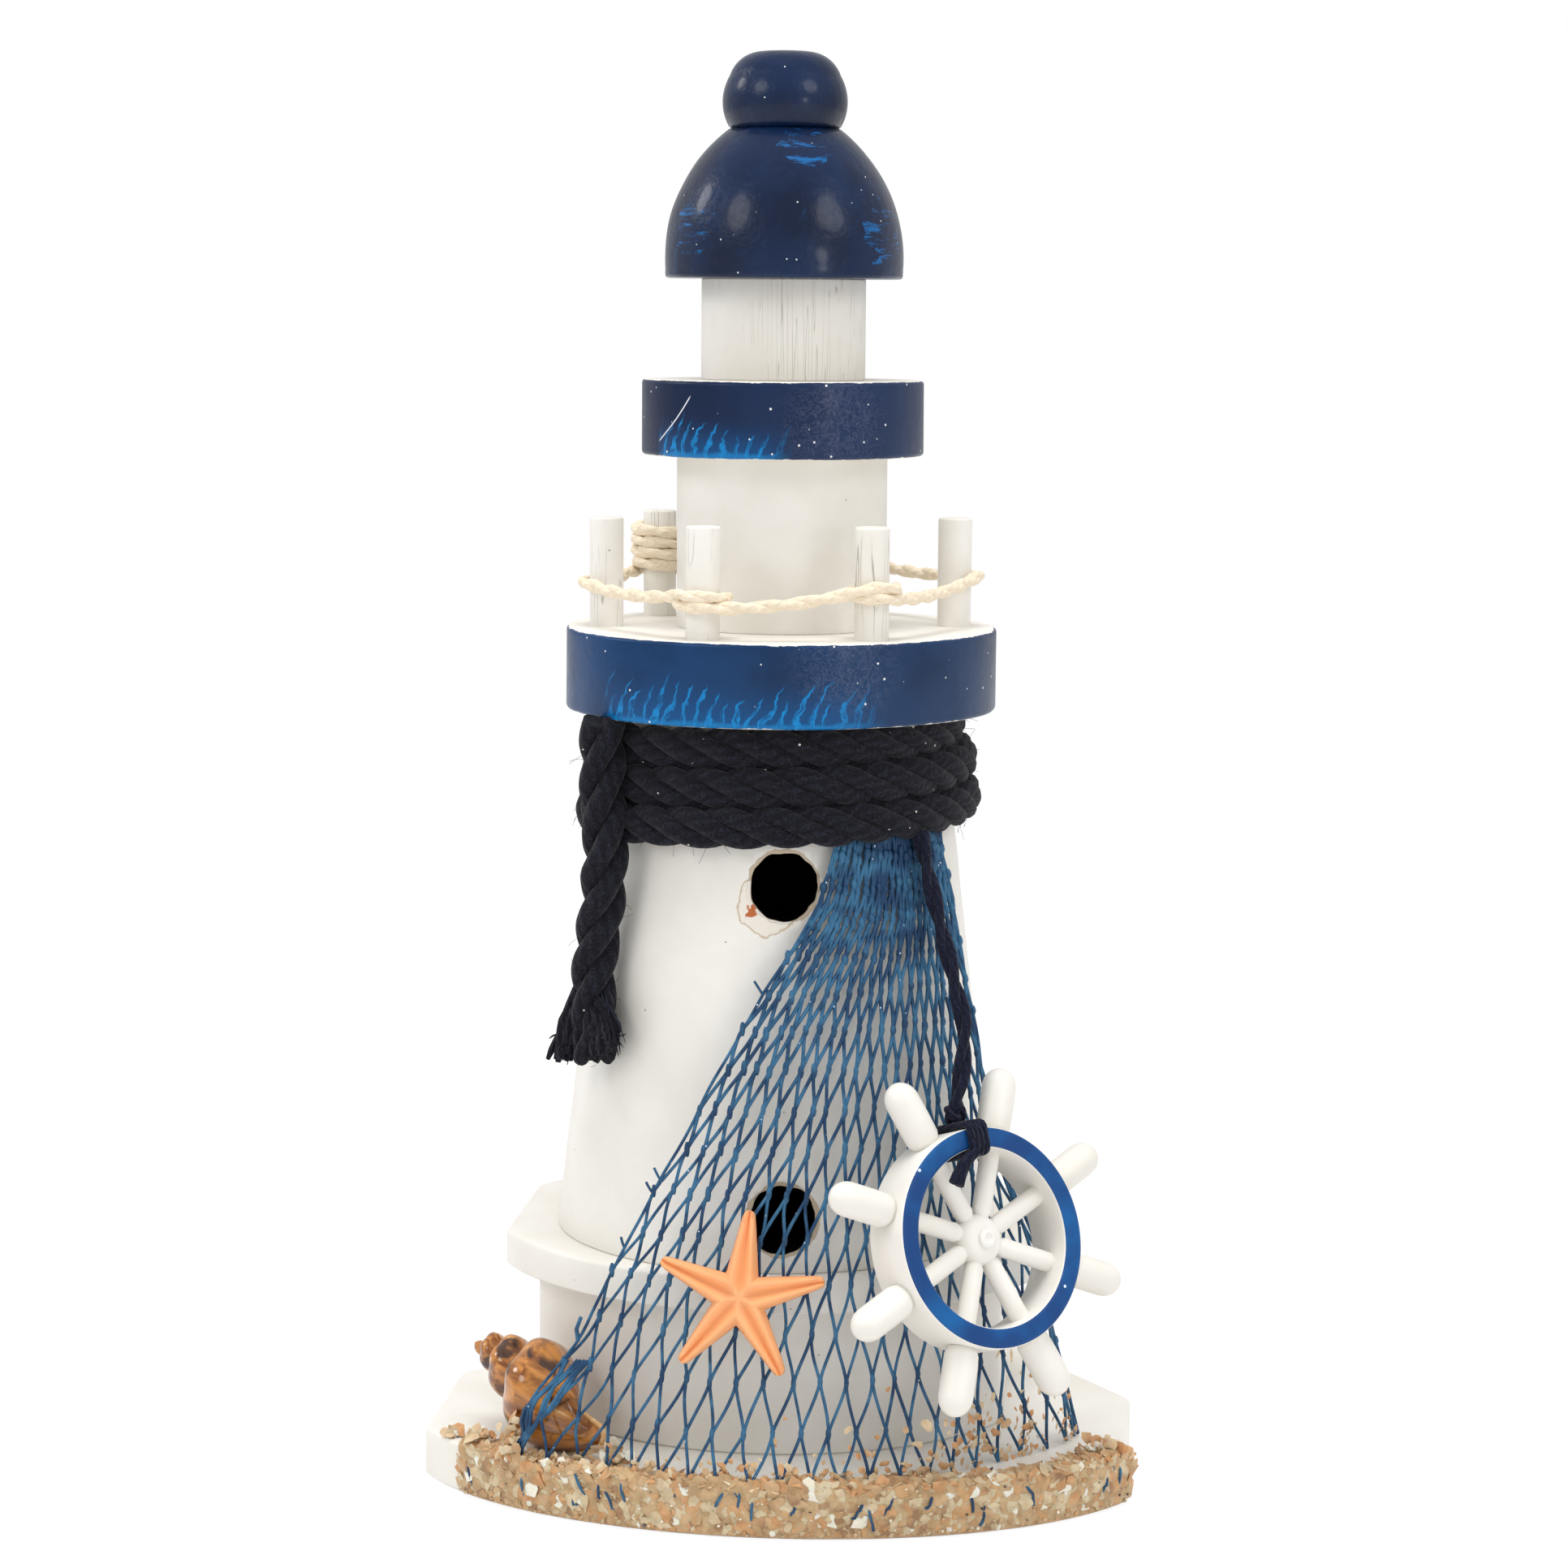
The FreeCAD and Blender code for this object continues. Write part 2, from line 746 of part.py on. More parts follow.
# Ship's wheel
def wheel_frame():
    """Placement that takes the wheel's own frame to its place in front of the net."""
    azimuth = math.radians(wheel_normal_azimuth)
    tilt = math.radians(wheel_tilt_angle)
    normal = FreeCAD.Vector(math.cos(tilt) * math.sin(azimuth),
                            -math.cos(tilt) * math.cos(azimuth), math.sin(tilt))
    across = FreeCAD.Vector(math.cos(azimuth), math.sin(azimuth), 0)
    upward = normal.cross(across)
    reach = net_radius_at(wheel_height) + net_thickness + wheel_stand_off
    centre = polar(reach, wheel_azimuth, wheel_height)
    return FreeCAD.Placement(FreeCAD.Matrix(
        across.x, upward.x, normal.x, centre.x,
        across.y, upward.y, normal.y, centre.y,
        across.z, upward.z, normal.z, centre.z,
        0, 0, 0, 1,
    ))


def on_wheel(shape):
    return shape.transformed(wheel_frame().toMatrix(), copy=True)


def on_peg(shape, index):
    """Takes a shape that runs up the Z axis to one of the wheel's pegs."""
    angle = peg_first_angle + 360.0 * index / peg_count
    rotation = FreeCAD.Rotation(Z_AXIS, angle).multiply(FreeCAD.Rotation(Z_AXIS, X_AXIS))
    place = FreeCAD.Placement(FreeCAD.Vector(0, 0, -peg_setback), rotation)
    return shape.transformed(place.toMatrix(), copy=True)


def across_facet(shape, sides):
    """Turns a faceted ring or hub so that the pegs meet it in the middle of a facet."""
    shape.rotate(FreeCAD.Vector(0, 0, 0), Z_AXIS, peg_first_angle + 180.0 / sides)
    return shape


def wheel_rim():
    ring = turned([(rim_outer_radius, -rim_depth), (rim_outer_radius, 0)], rim_sides)
    inner = rim_outer_radius - rim_wall
    bore = turned([(inner, -rim_depth - cut_overrun), (inner, cut_overrun)], rim_sides)
    ring = across_facet(ring.cut(bore), rim_sides)
    bored = spoke_radius + glue_gap
    hole = turned([(bored, hub_radius), (bored, rim_outer_radius + cut_overrun)], peg_sides)
    for index in range(peg_count):
        ring = ring.cut(on_peg(hole, index))
    return on_wheel(ring)


def wheel_hub():
    top = -hub_setback
    shoulder = (hub_radius, top - hub_round)
    middle = (hub_radius - hub_round * (1 - math.cos(math.pi / 4)),
              top - hub_round * (1 - math.sin(math.pi / 4)))
    crown = (hub_radius - hub_round, top)
    hub = across_facet(turned([(hub_radius, top - hub_length), shoulder, middle, crown], hub_sides),
                       hub_sides)
    bored = spoke_tenon_radius + glue_gap
    socket = turned([(bored, hub_radius - spoke_tenon_depth), (bored, hub_radius + cut_overrun)],
                    peg_sides)
    for index in range(peg_count):
        hub = hub.cut(on_peg(socket, index))
    pin_bore = pin_shank_radius + glue_gap
    return on_wheel(hub.cut(turned([(pin_bore, top - pin_seat_depth), (pin_bore, top + cut_overrun)],
                                   pin_sides)))


def hub_pin():
    top = -hub_setback
    outline = [
        (pin_shank_radius, top - pin_seat_depth), (pin_shank_radius, top),
        (pin_head_radius, top), (pin_crown_radius, top + pin_head_height),
    ]
    return on_wheel(turned(outline, pin_sides))


def wheel_peg(index):
    """Turned peg: a bullet handle outside the rim, and a thinner spoke with a tenon in the hub."""
    shoulder = hub_radius + spoke_shoulder_gap
    seat = rim_outer_radius + glue_gap
    brow = peg_tip_radius - handle_round_length
    outline = [
        (spoke_tenon_radius, hub_radius - spoke_tenon_depth + glue_gap),
        (spoke_tenon_radius, shoulder), (spoke_radius, shoulder),
        (spoke_radius, seat), (handle_radius, seat),
    ]
    for angle in (0, 35, 65, 82):
        turn = math.radians(angle)
        outline.append((handle_radius * math.cos(turn), brow + handle_round_length * math.sin(turn)))
    return on_wheel(on_peg(turned(outline, peg_sides), index))


def wheel_loop():
    """Cord loop round the rim's section, with the knot that sits on it."""
    angle = math.radians(loop_angle)
    outward = FreeCAD.Vector(math.cos(angle), math.sin(angle), 0)
    offset = loop_gap + loop_cord_diameter / 2
    inner = rim_outer_radius - rim_wall - offset
    outer = rim_outer_radius + offset
    front = offset
    back = -rim_depth - offset
    corners = [
        outward * outer + Z_AXIS * back, outward * outer + Z_AXIS * front,
        outward * inner + Z_AXIS * front, outward * inner + Z_AXIS * back,
    ]
    edges = []
    for k in range(4):
        before, corner, after = corners[k - 1], corners[k], corners[(k + 1) % 4]
        into = (corner - before).normalize()
        onward = (after - corner).normalize()
        start = corner - into * loop_corner_radius
        end = corner + onward * loop_corner_radius
        edges.append(arc_between(start, corner, end))
        following = after - onward * loop_corner_radius
        edges.append(Part.LineSegment(end, following).toShape())
    loop = swept(edges, X_AXIS, loop_cord_diameter, loop_cord_sides)
    place = FreeCAD.Placement(knot_middle(), FreeCAD.Rotation(Z_AXIS, outward))
    knot = knot_ball().transformed(place.toMatrix(), copy=True)
    return on_wheel(loop.fuse(knot).removeSplitter())


def knot_middle():
    """Middle of the knot on the rim, in the wheel's own frame; the wheel tips about it."""
    angle = math.radians(loop_angle)
    height = knot_radius * math.cos(math.pi / knot_sides)
    reach = rim_outer_radius + loop_gap + loop_cord_diameter / 2 + height
    return FreeCAD.Vector(reach * math.cos(angle), reach * math.sin(angle), -rim_depth / 2)


def knot_ball():
    """Faceted ball about the origin, so that it turns under the cord's end without touching."""
    outline = []
    for quarter in (-3, -1, 1, 3):
        angle = quarter * math.pi / knot_sides
        outline.append((knot_radius * math.cos(angle), knot_radius * math.sin(angle)))
    return turned(outline, knot_sides)


def wheel_cord():
    """Cord down the net that ends just over the knot."""
    knot = wheel_frame().multVec(knot_middle())
    top = net_top_height() + wheel_cord_tuck
    points = []
    for azimuth, share, gap in wheel_cord_bend_shares:
        height = top + (knot.z - top) * share
        reach = net_radius_at(height) + net_thickness + gap + wheel_cord_diameter / 2
        points.append(polar(reach, azimuth, height))
    back = (points[-1] - knot).normalize()
    points.append(knot + back * (knot_radius + wheel_cord_knot_gap))
    print("knot middle (%.2f, %.2f, %.2f)" % (knot.x, knot.y, knot.z))
    return free_cord("wheel_cord", points, wheel_cord_diameter)


# Trims
def starfish():
    """Five pointed arms with a raised ridge, as flat facets between outline and ridge."""
    bottom = []
    ridge = []
    for arm in range(5):
        angle = math.radians(star_first_angle + 72.0 * arm)
        outward = FreeCAD.Vector(math.cos(angle), math.sin(angle), 0)
        aside = FreeCAD.Vector(-math.sin(angle), math.cos(angle), 0) * star_arm_tip_half_width
        valley = math.radians(star_first_angle + 72.0 * arm + 36.0)
        tip = outward * star_radius
        bottom += [
            tip - aside, tip + aside,
            FreeCAD.Vector(math.cos(valley), math.sin(valley), 0) * star_inner_radius,
        ]
        ridge.append(tip - outward * star_arm_tip_half_width + Z_AXIS * star_tip_thickness)
    count = len(bottom)
    rim = [p + Z_AXIS * star_edge_thickness for p in bottom]
    crown = Z_AXIS * star_centre_thickness
    faces = [Part.Face(Part.makePolygon(bottom + bottom[:1]))]

    def facet(*corners):
        faces.append(Part.Face(Part.makePolygon(list(corners) + [corners[0]])))

    for k in range(count):
        j = (k + 1) % count
        facet(bottom[k], bottom[j], rim[j], rim[k])
    for arm in range(5):
        before = rim[3 * arm - 1]
        right, left, valley = rim[3 * arm:3 * arm + 3]
        facet(before, right, ridge[arm])
        facet(right, left, ridge[arm])
        facet(left, valley, ridge[arm])
        facet(before, ridge[arm], crown)
        facet(ridge[arm], valley, crown)
    shell = Part.makeShell(faces)
    star = Part.makeSolid(shell)
    azimuth = math.radians(star_azimuth)
    normal = FreeCAD.Vector(math.sin(azimuth), -math.cos(azimuth), net_slope()).normalize()
    across = FreeCAD.Vector(math.cos(azimuth), math.sin(azimuth), 0)
    upward = normal.cross(across)
    seat = polar(net_radius_at(star_height) + net_thickness, star_azimuth, star_height)
    seat += normal * star_gap
    frame = FreeCAD.Matrix(
        across.x, upward.x, normal.x, seat.x,
        across.y, upward.y, normal.y, seat.y,
        across.z, upward.z, normal.z, seat.z,
        0, 0, 0, 1,
    )
    return star.transformed(frame, copy=True)


def seashell():
    """Conch with swelling whorls, from its apex to the end of its mouth."""
    outline = [(shell_radius * radius, shell_length * along)
               for along, radius in shell_profile_shares]
    body = turned(outline, shell_sides)
    apex = FreeCAD.Vector(*shell_apex) + Z_AXIS * base_thickness
    mouth = FreeCAD.Vector(*shell_mouth) + Z_AXIS * base_thickness
    turn = FreeCAD.Rotation(Z_AXIS, (mouth - apex).normalize())
    return body.transformed(FreeCAD.Placement(apex, turn).toMatrix(), copy=True)


def bow_band(inner_growth, outer_growth, bottom, top):
    """Band that follows the base's bow between two offsets from it."""
    centre = FreeCAD.Vector(base_shift, base_bow_depth - base_front, 0)
    first = math.radians(270 + sand_start_angle)
    last = math.radians(270 + sand_end_angle)

    def arc(growth):
        half_width = base_half_width + base_bow_margin + growth
        ellipse = Part.Ellipse(centre, half_width, base_bow_depth + growth)
        return Part.ArcOfEllipse(ellipse, first, last).toShape()

    outer = arc(outer_growth)
    inner = arc(inner_growth)
    ends = [
        Part.LineSegment(outer.Vertexes[0].Point, inner.Vertexes[0].Point).toShape(),
        Part.LineSegment(outer.Vertexes[1].Point, inner.Vertexes[1].Point).toShape(),
    ]
    wire = Part.Wire(Part.sortEdges([outer, inner] + ends)[0])
    band = Part.Face(wire).extrude(FreeCAD.Vector(0, 0, top - bottom))
    band.translate(FreeCAD.Vector(0, 0, bottom))
    return band


def sand_strip():
    """Crust over the front edge of the base: a face in front and a lip on top."""
    top = base_thickness + sand_thickness
    face = bow_band(glue_gap, sand_proud, sand_floor_gap, top)
    lip = bow_band(-sand_depth, glue_gap, base_thickness + glue_gap, top)
    return face.fuse(lip).removeSplitter()


def build():
    nodes = {
        "base_board": base_board(),
        "base_block": base_block(),
        "platform_board": platform_board(),
        "tower_body": tower_body(),
        "lower_gallery": lower_gallery(),
        "watch_room": watch_room(),
        "upper_gallery": upper_gallery(),
        "lantern_room": lantern_room(),
        "dome_roof": dome_roof(),
        "finial_knob": finial_knob(),
        "lower_dowel": lower_dowel(),
        "gallery_dowel": gallery_dowel(),
        "upper_dowel": upper_dowel(),
        "base_screws": base_screws(),
        "railing_cord": railing_cord(),
        "rope_wrap": rope_wrap(),
        "rope_tail": rope_tail(),
        "fishing_net": fishing_net(),
        "wheel_rim": wheel_rim(),
        "wheel_hub": wheel_hub(),
        "hub_pin": hub_pin(),
        "wheel_loop": wheel_loop(),
        "wheel_cord": wheel_cord(),
        "starfish": starfish(),
        "seashell": seashell(),
        "sand_strip": sand_strip(),
    }
    for number, azimuth in enumerate(post_azimuths, 1):
        nodes["railing_post_%d" % number] = railing_post(azimuth)
    for index in range(peg_count):
        nodes["wheel_peg_%d" % (index + 1)] = wheel_peg(index)
    return nodes


os.makedirs("parts", exist_ok=True)
for name, shape in build().items():
    shape.exportStep("parts/%s.step" % name)
    print(name, "solids", len(shape.Solids), "valid", shape.isValid(), "volume %.1f" % shape.Volume)
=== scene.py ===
"""Looks of the lighthouse figurine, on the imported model's frame."""

import random
from math import atan2, copysign, cos, exp, hypot, pi, radians, sin, sqrt

import bpy
from mathutils import Matrix, Vector, noise


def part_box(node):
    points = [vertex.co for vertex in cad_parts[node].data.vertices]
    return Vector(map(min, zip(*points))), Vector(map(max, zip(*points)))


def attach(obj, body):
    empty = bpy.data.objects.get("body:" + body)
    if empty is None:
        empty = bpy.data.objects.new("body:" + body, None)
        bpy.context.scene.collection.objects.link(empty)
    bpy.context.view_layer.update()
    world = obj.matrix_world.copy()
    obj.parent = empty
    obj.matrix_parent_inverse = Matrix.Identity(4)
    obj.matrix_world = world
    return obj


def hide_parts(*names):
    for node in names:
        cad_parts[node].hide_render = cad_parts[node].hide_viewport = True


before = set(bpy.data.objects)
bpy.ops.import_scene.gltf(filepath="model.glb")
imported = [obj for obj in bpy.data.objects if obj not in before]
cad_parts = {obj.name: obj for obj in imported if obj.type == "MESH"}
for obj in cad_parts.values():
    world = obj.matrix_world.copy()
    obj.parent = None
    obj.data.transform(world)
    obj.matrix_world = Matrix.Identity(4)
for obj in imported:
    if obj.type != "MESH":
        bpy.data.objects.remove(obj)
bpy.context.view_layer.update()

# Shapes are worked out in millimetres, in the frame's own axes, and built in metres.
MM = 0.001
UP = Vector((0, 0, 1))
TURN = 2 * pi

# Camera
camera_place = (71.1, -669.4, 209.9)
camera_turn = 6.0
camera_pitch = 7.35
camera_roll = 0.45
camera_lens = 85.7

# Lamps: place and size in metres, power, and whether gloss mirrors them
lamps = (
    ("left", (-1.0, 0.1, 0.75), 0.3, 1.6, True),
    ("front_left", (-0.8, -0.8, 0.85), 0.5, 2.4, True),
    ("front_right", (0.85, -0.55, 0.8), 0.5, 2.1, True),
    ("low_right", (0.85, -0.9, 0.25), 0.2, 0.6, True),
    ("top", (0, -0.1, 1.3), 0.9, 10.5, False),
)
lamp_target = (0, 0, 0.13)
sky_light = 0.6

# Routes of the two free cords, as in the part's source
tail_route = (
    (-28.59, -26.01, 137.10),
    (-28.88, -25.82, 125.50),
    (-27.59, -27.02, 113.50),
    (-28.98, -25.82, 102.00),
    (-30.62, -24.88, 90.50),
    (-29.58, -26.82, 77.00),
)
hanger_route = (
    (27.18, -23.22, 118.02),
    (30.10, -26.82, 105.95),
    (33.91, -30.43, 93.89),
    (36.92, -34.55, 82.75),
    (35.09, -37.65, 73.70),
)
hanger_knot = (34.67, -38.36, 71.61)

# Radii of the turned pieces
tower_foot_radius = 40.2
tower_top_radius = 29.4
lower_gallery_radius = 38.8
upper_gallery_radius = 25.3
watch_radius = 18.9
lantern_radius = 14.7
dome_radius = 21.2

# Windows
window_azimuth = 7.5
window_heights = (109.3, 51.6)
window_radius = 6.0
window_depth = 14.0

# Railing
post_radius = 3.0
post_circle_radius = 31.5
post_azimuths = (-19.5, 36.0, 101.0, 155.0, 232.0, 280.0)
railing_heights = (158.7, 160.2, 160.9, 160.6, 160.2, 159.7)
railing_turns = (1, 1, 0, 0, 4, 0)
railing_radius = 1.2
railing_strand_radius = 0.84

# Wound rope and its loose end
rope_turns = 3
rope_front_turn = 0.47
rope_pitch = 6.9
rope_half_height = 3.75
rope_half_depth = 2.75
rope_strand_radius = 1.85
rope_start_azimuth = 170.0
rope_twists = 9.1667
tail_strand_radius = 2.05
tail_strand_offset = 2.1
tail_lay = 25.0
fray_threads = 330
fray_thick_threads = 84

# Net: its cone, and (height, azimuth) along its two sides
net_top = 119.6
net_foot = 9.2
net_top_radius = 33.0
net_foot_radius = 55.8
net_columns = 21
net_rows = 16
net_strand_radius = 0.31
net_left = (
    (119.6, 24.0), (107.0, 17.4), (99.0, 9.7), (92.5, 2.9), (84.6, -3.4), (76.0, -9.3),
    (69.6, -13.0), (61.5, -18.5), (56.0, -22.0), (48.0, -26.5), (41.0, -30.5),
    (27.0, -36.0), (9.2, -42.0),
)
net_right = ((119.6, 62.0), (95.0, 64.0), (60.0, 66.0), (30.0, 69.0), (9.2, 72.0))

# Where the net may stand out over the seashell
drape_first, drape_last, drape_step = -69, 12, 3
drape_low, drape_high = 7, 55

# Ship's wheel
wheel_reach = 63.33
wheel_azimuth = 41.9
wheel_height = 52.0
wheel_normal_azimuth = 41.0
wheel_tilt = 18.0
rim_outer_radius = 19.0
rim_inner_radius = 15.4
rim_depth = 10.0
peg_count = 8
peg_first_angle = 22.8
peg_setback = 4.7
peg_tip_radius = 30.8
handle_radius = 3.0
spoke_radius = 1.75
hub_radius = 4.7
hub_setback = 1.9
hub_length = 7.0
loop_angle = 90.0
knot_reach = 22.24

# Starfish
star_azimuth = -1.0
star_height = 40.7
star_radius = 15.0
star_first_angle = 85.0
star_arms = 5
arm_root = 3.5
arm_tip = 1.15
arm_round = 0.93

# Seashell
shell_apex = Vector((-50.3, -23.6, 23.4))
shell_mouth = Vector((-24.6, -44.2, 14.1))
shell_length = 34.0
shell_end_angle = 78.0
shell_turns = 3.2
shell_growth = 1.62
shell_reaches = ((-0.06, 0.0), (0.0, 2.0), (0.12, 4.4), (0.3, 7.2), (0.5, 9.2), (0.7, 9.8),
                 (0.86, 8.0), (1.0, 4.0), (1.06, 0.0))

# Crushed shell along the base's bowed edge
bow_centre_x = 2.6
bow_centre_y = -11.0
bow_half_width = 68.0
bow_depth = 45.0
sand_first_angle = 217.3
sand_last_angle = 338.0
flake_count = 3600
grit_count = 260
net_flake_count = 330
twine_bit_count = 26
# Centre, spread and count of the clumps
sand_clumps = (
    ((-41.6, -45.0, 11.5), (1.5, 1.2, 3.0), 60),
    ((-48.6, -38.6, 10.2), (1.9, 1.2, 1.2), 42),
    ((-23.5, -46.0, 10.6), (1.8, 1.4, 1.3), 46),
    ((61.5, -30.0, 10.2), (2.6, 1.6, 1.2), 46),
    ((-54.0, -33.5, 9.4), (1.5, 1.2, 0.6), 22),
)


def span(node):
    """Lowest and highest level of a CAD node."""
    return [corner.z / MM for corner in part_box(node)]


# Tops of the stack's pieces
(base_top, platform_top, tower_top, lower_gallery_top, watch_top, upper_gallery_top,
 lantern_top, dome_top, knob_top) = (span(node)[1] for node in (
     "base_board", "platform_board", "tower_body", "lower_gallery", "watch_room",
     "upper_gallery", "lantern_room", "dome_roof", "finial_knob"))


def srgb(*levels):
    """Linear colour of a colour given from 0 to 255."""
    shares = [level / 255 for level in levels]
    return (*(share / 12.92 if share < 0.04045 else ((share + 0.055) / 1.055) ** 2.4
              for share in shares), 1)


def polar(radius, azimuth, height):
    angle = radians(azimuth)
    return Vector((radius * sin(angle), -radius * cos(angle), height))


def heading(angle):
    return Vector((cos(angle), sin(angle), 0))


def smooth_step(low, high, value):
    share = min(max((value - low) / (high - low), 0), 1)
    return share * share * (3 - 2 * share)


def table_at(table, height):
    """Value at a height in a table of (height, value) rows that run downwards."""
    for (z0, v0), (z1, v1) in zip(table, table[1:]):
        if height >= z1:
            share = min(max((z0 - height) / (z0 - z1), 0), 1)
            return v0 + (v1 - v0) * share
    return table[-1][1]


def levels(low, high, count):
    return [low + (high - low) * k / count for k in range(count + 1)]


def circled(across, up, angle, reach=1.0):
    """Step in a direction round a path."""
    return (across * cos(angle) + up * sin(angle)) * reach


def bent(start, middle, end, shares):
    """Points on the curve that a middle point draws aside."""
    return [start.lerp(middle, t).lerp(middle.lerp(end, t), t) for t in shares]


def tossed(dice):
    return Vector([dice.uniform(-1, 1) for _ in range(3)])


def waver(*place):
    """Smooth chance, from -1 to 1, at a place."""
    return noise.noise(Vector(place))


def add_object(name, data):
    thing = bpy.data.objects.new(name, data)
    bpy.context.scene.collection.objects.link(thing)
    return thing


def final_mesh(thing):
    """Mesh of an object with its modifiers and its spline worked out."""
    bpy.context.view_layer.update()
    return bpy.data.meshes.new_from_object(
        thing.evaluated_get(bpy.context.evaluated_depsgraph_get()))


def add_camera():
    data = bpy.data.cameras.new("camera")
    data.lens = camera_lens
    data.sensor_width = 36
    data.clip_end = 20
    camera = add_object("camera", data)
    camera.matrix_world = Matrix.Translation(Vector(camera_place) * MM)
    for angle, axis in ((camera_turn, "Z"), (90 - camera_pitch, "X"), (camera_roll, "Z")):
        camera.matrix_world = camera.matrix_world @ Matrix.Rotation(radians(angle), 4, axis)
    bpy.context.scene.camera = camera


# Materials
class Wire:
    """A node's output. Arithmetic with wires and numbers adds Math nodes."""

    def __init__(self, look, socket):
        self.look = look
        self.socket = socket

    def __add__(self, other):
        return self.look.math("ADD", self, other)

    def __sub__(self, other):
        return self.look.math("SUBTRACT", self, other)

    def __rsub__(self, other):
        return self.look.math("SUBTRACT", other, self)

    def __mul__(self, other):
        return self.look.math("MULTIPLY", self, other)

    def __truediv__(self, other):
        return self.look.math("DIVIDE", self, other)

    def __abs__(self):
        return self.look.math("ABSOLUTE", self)

    def between(self, low, high):
        """0 below the low value, 1 above the high one, smooth in between."""
        return self.look.add("MapRange", (self, low, high), interpolation_type="SMOOTHSTEP")

    def blend(self, a, b):
        """From one number to another as this goes from 0 to 1."""
        return self * (b - a) + a


class Look:
    """One material, with short calls for its nodes."""

    def __init__(self, name):
        self.material = bpy.data.materials.new(name)
        self.material.use_nodes = True
        self.tree = self.material.node_tree
        self.shader = self.tree.nodes["Principled BSDF"]
        self.place = self.add("TexCoord", output="Object")

    def add(self, kind, values=(), output=0, **settings):
        """Output of a new node, whose inputs are given in order or by name or number."""
        node = self.tree.nodes.new("ShaderNode" + kind)
        for name, value in settings.items():
            setattr(node, name, value)
        for key, value in values.items() if isinstance(values, dict) else enumerate(values):
            self.plug(node.inputs[key], value)
        return Wire(self, node.outputs[output])

    def plug(self, socket, value):
        if isinstance(value, Wire):
            self.tree.links.new(value.socket, socket)
        else:
            socket.default_value = value

    def math(self, operation, *values):
        return self.add("Math", values, operation=operation)

    def vector(self, operation, *values):
        number = operation in ("LENGTH", "DOT_PRODUCT", "DISTANCE")
        return self.add("VectorMath", values, "Value" if number else "Vector",
                        operation=operation)

    def parts(self, vector):
        node = self.add("SeparateXYZ", (vector,)).socket.node
        return [Wire(self, socket) for socket in node.outputs]

    def join(self, *values):
        return self.add("CombineXYZ", values)

    def stretched(self, *factors):
        return self.vector("MULTIPLY", self.place, factors)

    def noise(self, scale, detail=3.0, roughness=0.55, distortion=0.0, at=None):
        return self.add("TexNoise", {"Vector": at or self.place, "Scale": scale, "Detail": detail,
                                     "Roughness": roughness, "Distortion": distortion})

    def dots(self, scale, edge, core):
        """Specks at the centres of random cells, as many to a metre as the scale says."""
        cells = self.add("TexVoronoi", {"Vector": self.place, "Scale": scale})
        return cells.between(edge, core)

    def mix(self, share, *paints):
        """Mix of two colours, each a wire or levels from 0 to 255."""
        a, b = (paint if isinstance(paint, Wire) else srgb(*paint) for paint in paints)
        return self.add("Mix", {0: share, 6: a, 7: b}, 2, data_type="RGBA")

    def unrolled(self):
        """Angle about the tower's axis in radians, distance from it and height in metres."""
        x, y, z = self.parts(self.place)
        return (self.math("ARCTAN2", x, y * -1.0),
                self.vector("LENGTH", self.join(x, y, 0.0)), z)

    def near(self, point, radius, ragged, scale=300.0):
        """1 within a radius of a point given in millimetres, with a ragged edge."""
        distance = self.vector("DISTANCE", self.place, tuple(point * MM))
        edge = distance + (self.noise(scale) - 0.5) * (2 * ragged * MM)
        return edge.between((radius + 0.12) * MM, (radius - 0.12) * MM)

    def finish(self, colour, roughness, height, depth, **settings):
        """Sets the shader's colour, roughness, bump of a depth in millimetres and the rest."""
        normal = self.add("Bump", {"Height": height, "Distance": depth * MM})
        self.plug(self.shader.inputs["Base Color"], colour)
        self.plug(self.shader.inputs["Roughness"], roughness)
        self.plug(self.shader.inputs["Normal"], normal)
        for name, value in settings.items():
            self.shader.inputs[name.replace("_", " ")].default_value = value
        return self.material


# Paints, as levels from 0 to 255
white = (241, 238, 232)
white_shade = (233, 229, 220)
bare_grey = (116, 108, 100)
crack_brown = (128, 118, 106)
navy = (14, 37, 72)
navy_dark = (6, 22, 50)
navy_violet = (58, 66, 98)
bright_blue = (8, 110, 182)


def white_parts(look, grain=0.6, cracks=0.0, upright=False):
    """Colour and height of brushed white paint over wood, shared by several looks."""
    colour = look.mix(look.noise(38.0, 4.0, 0.6).between(0.35, 0.7), white_shade, white)
    colour = look.mix(look.dots(170.0, 0.034, 0.024) * 0.8, colour, bare_grey)
    fibres = look.noise(1.0, 4.0, 0.6, at=look.stretched(520.0, 520.0, 34.0))
    pores, swell = look.noise(1500.0, 2.0, 0.5), look.noise(90.0, 2.0, 0.5)
    height = fibres * grain + pores * 0.12 + swell * 0.8
    if cracks:
        if upright:
            lines = look.stretched(520.0, 520.0, 22.0)
        else:
            angle, z = look.unrolled()[::2]
            lines = look.join(angle * 17.0, z * 26.0, 0.0)
        split = abs(look.noise(1.0, 1.5, 0.45, 0.1, lines) - 0.5).between(0.012, 0.004)
        split = split * look.noise(60.0).between(0.44, 0.6) * cracks
        colour = look.mix(split, colour, crack_brown)
        height = height - split * 1.2
    return colour, height


def white_look(name, grain, cracks=0.0, roughness=0.42, upright=False):
    look = Look(name)
    colour, height = white_parts(look, grain, cracks, upright)
    rough = look.noise(120.0).blend(roughness - 0.06, roughness + 0.1)
    return look.finish(colour, rough, height, 0.08)


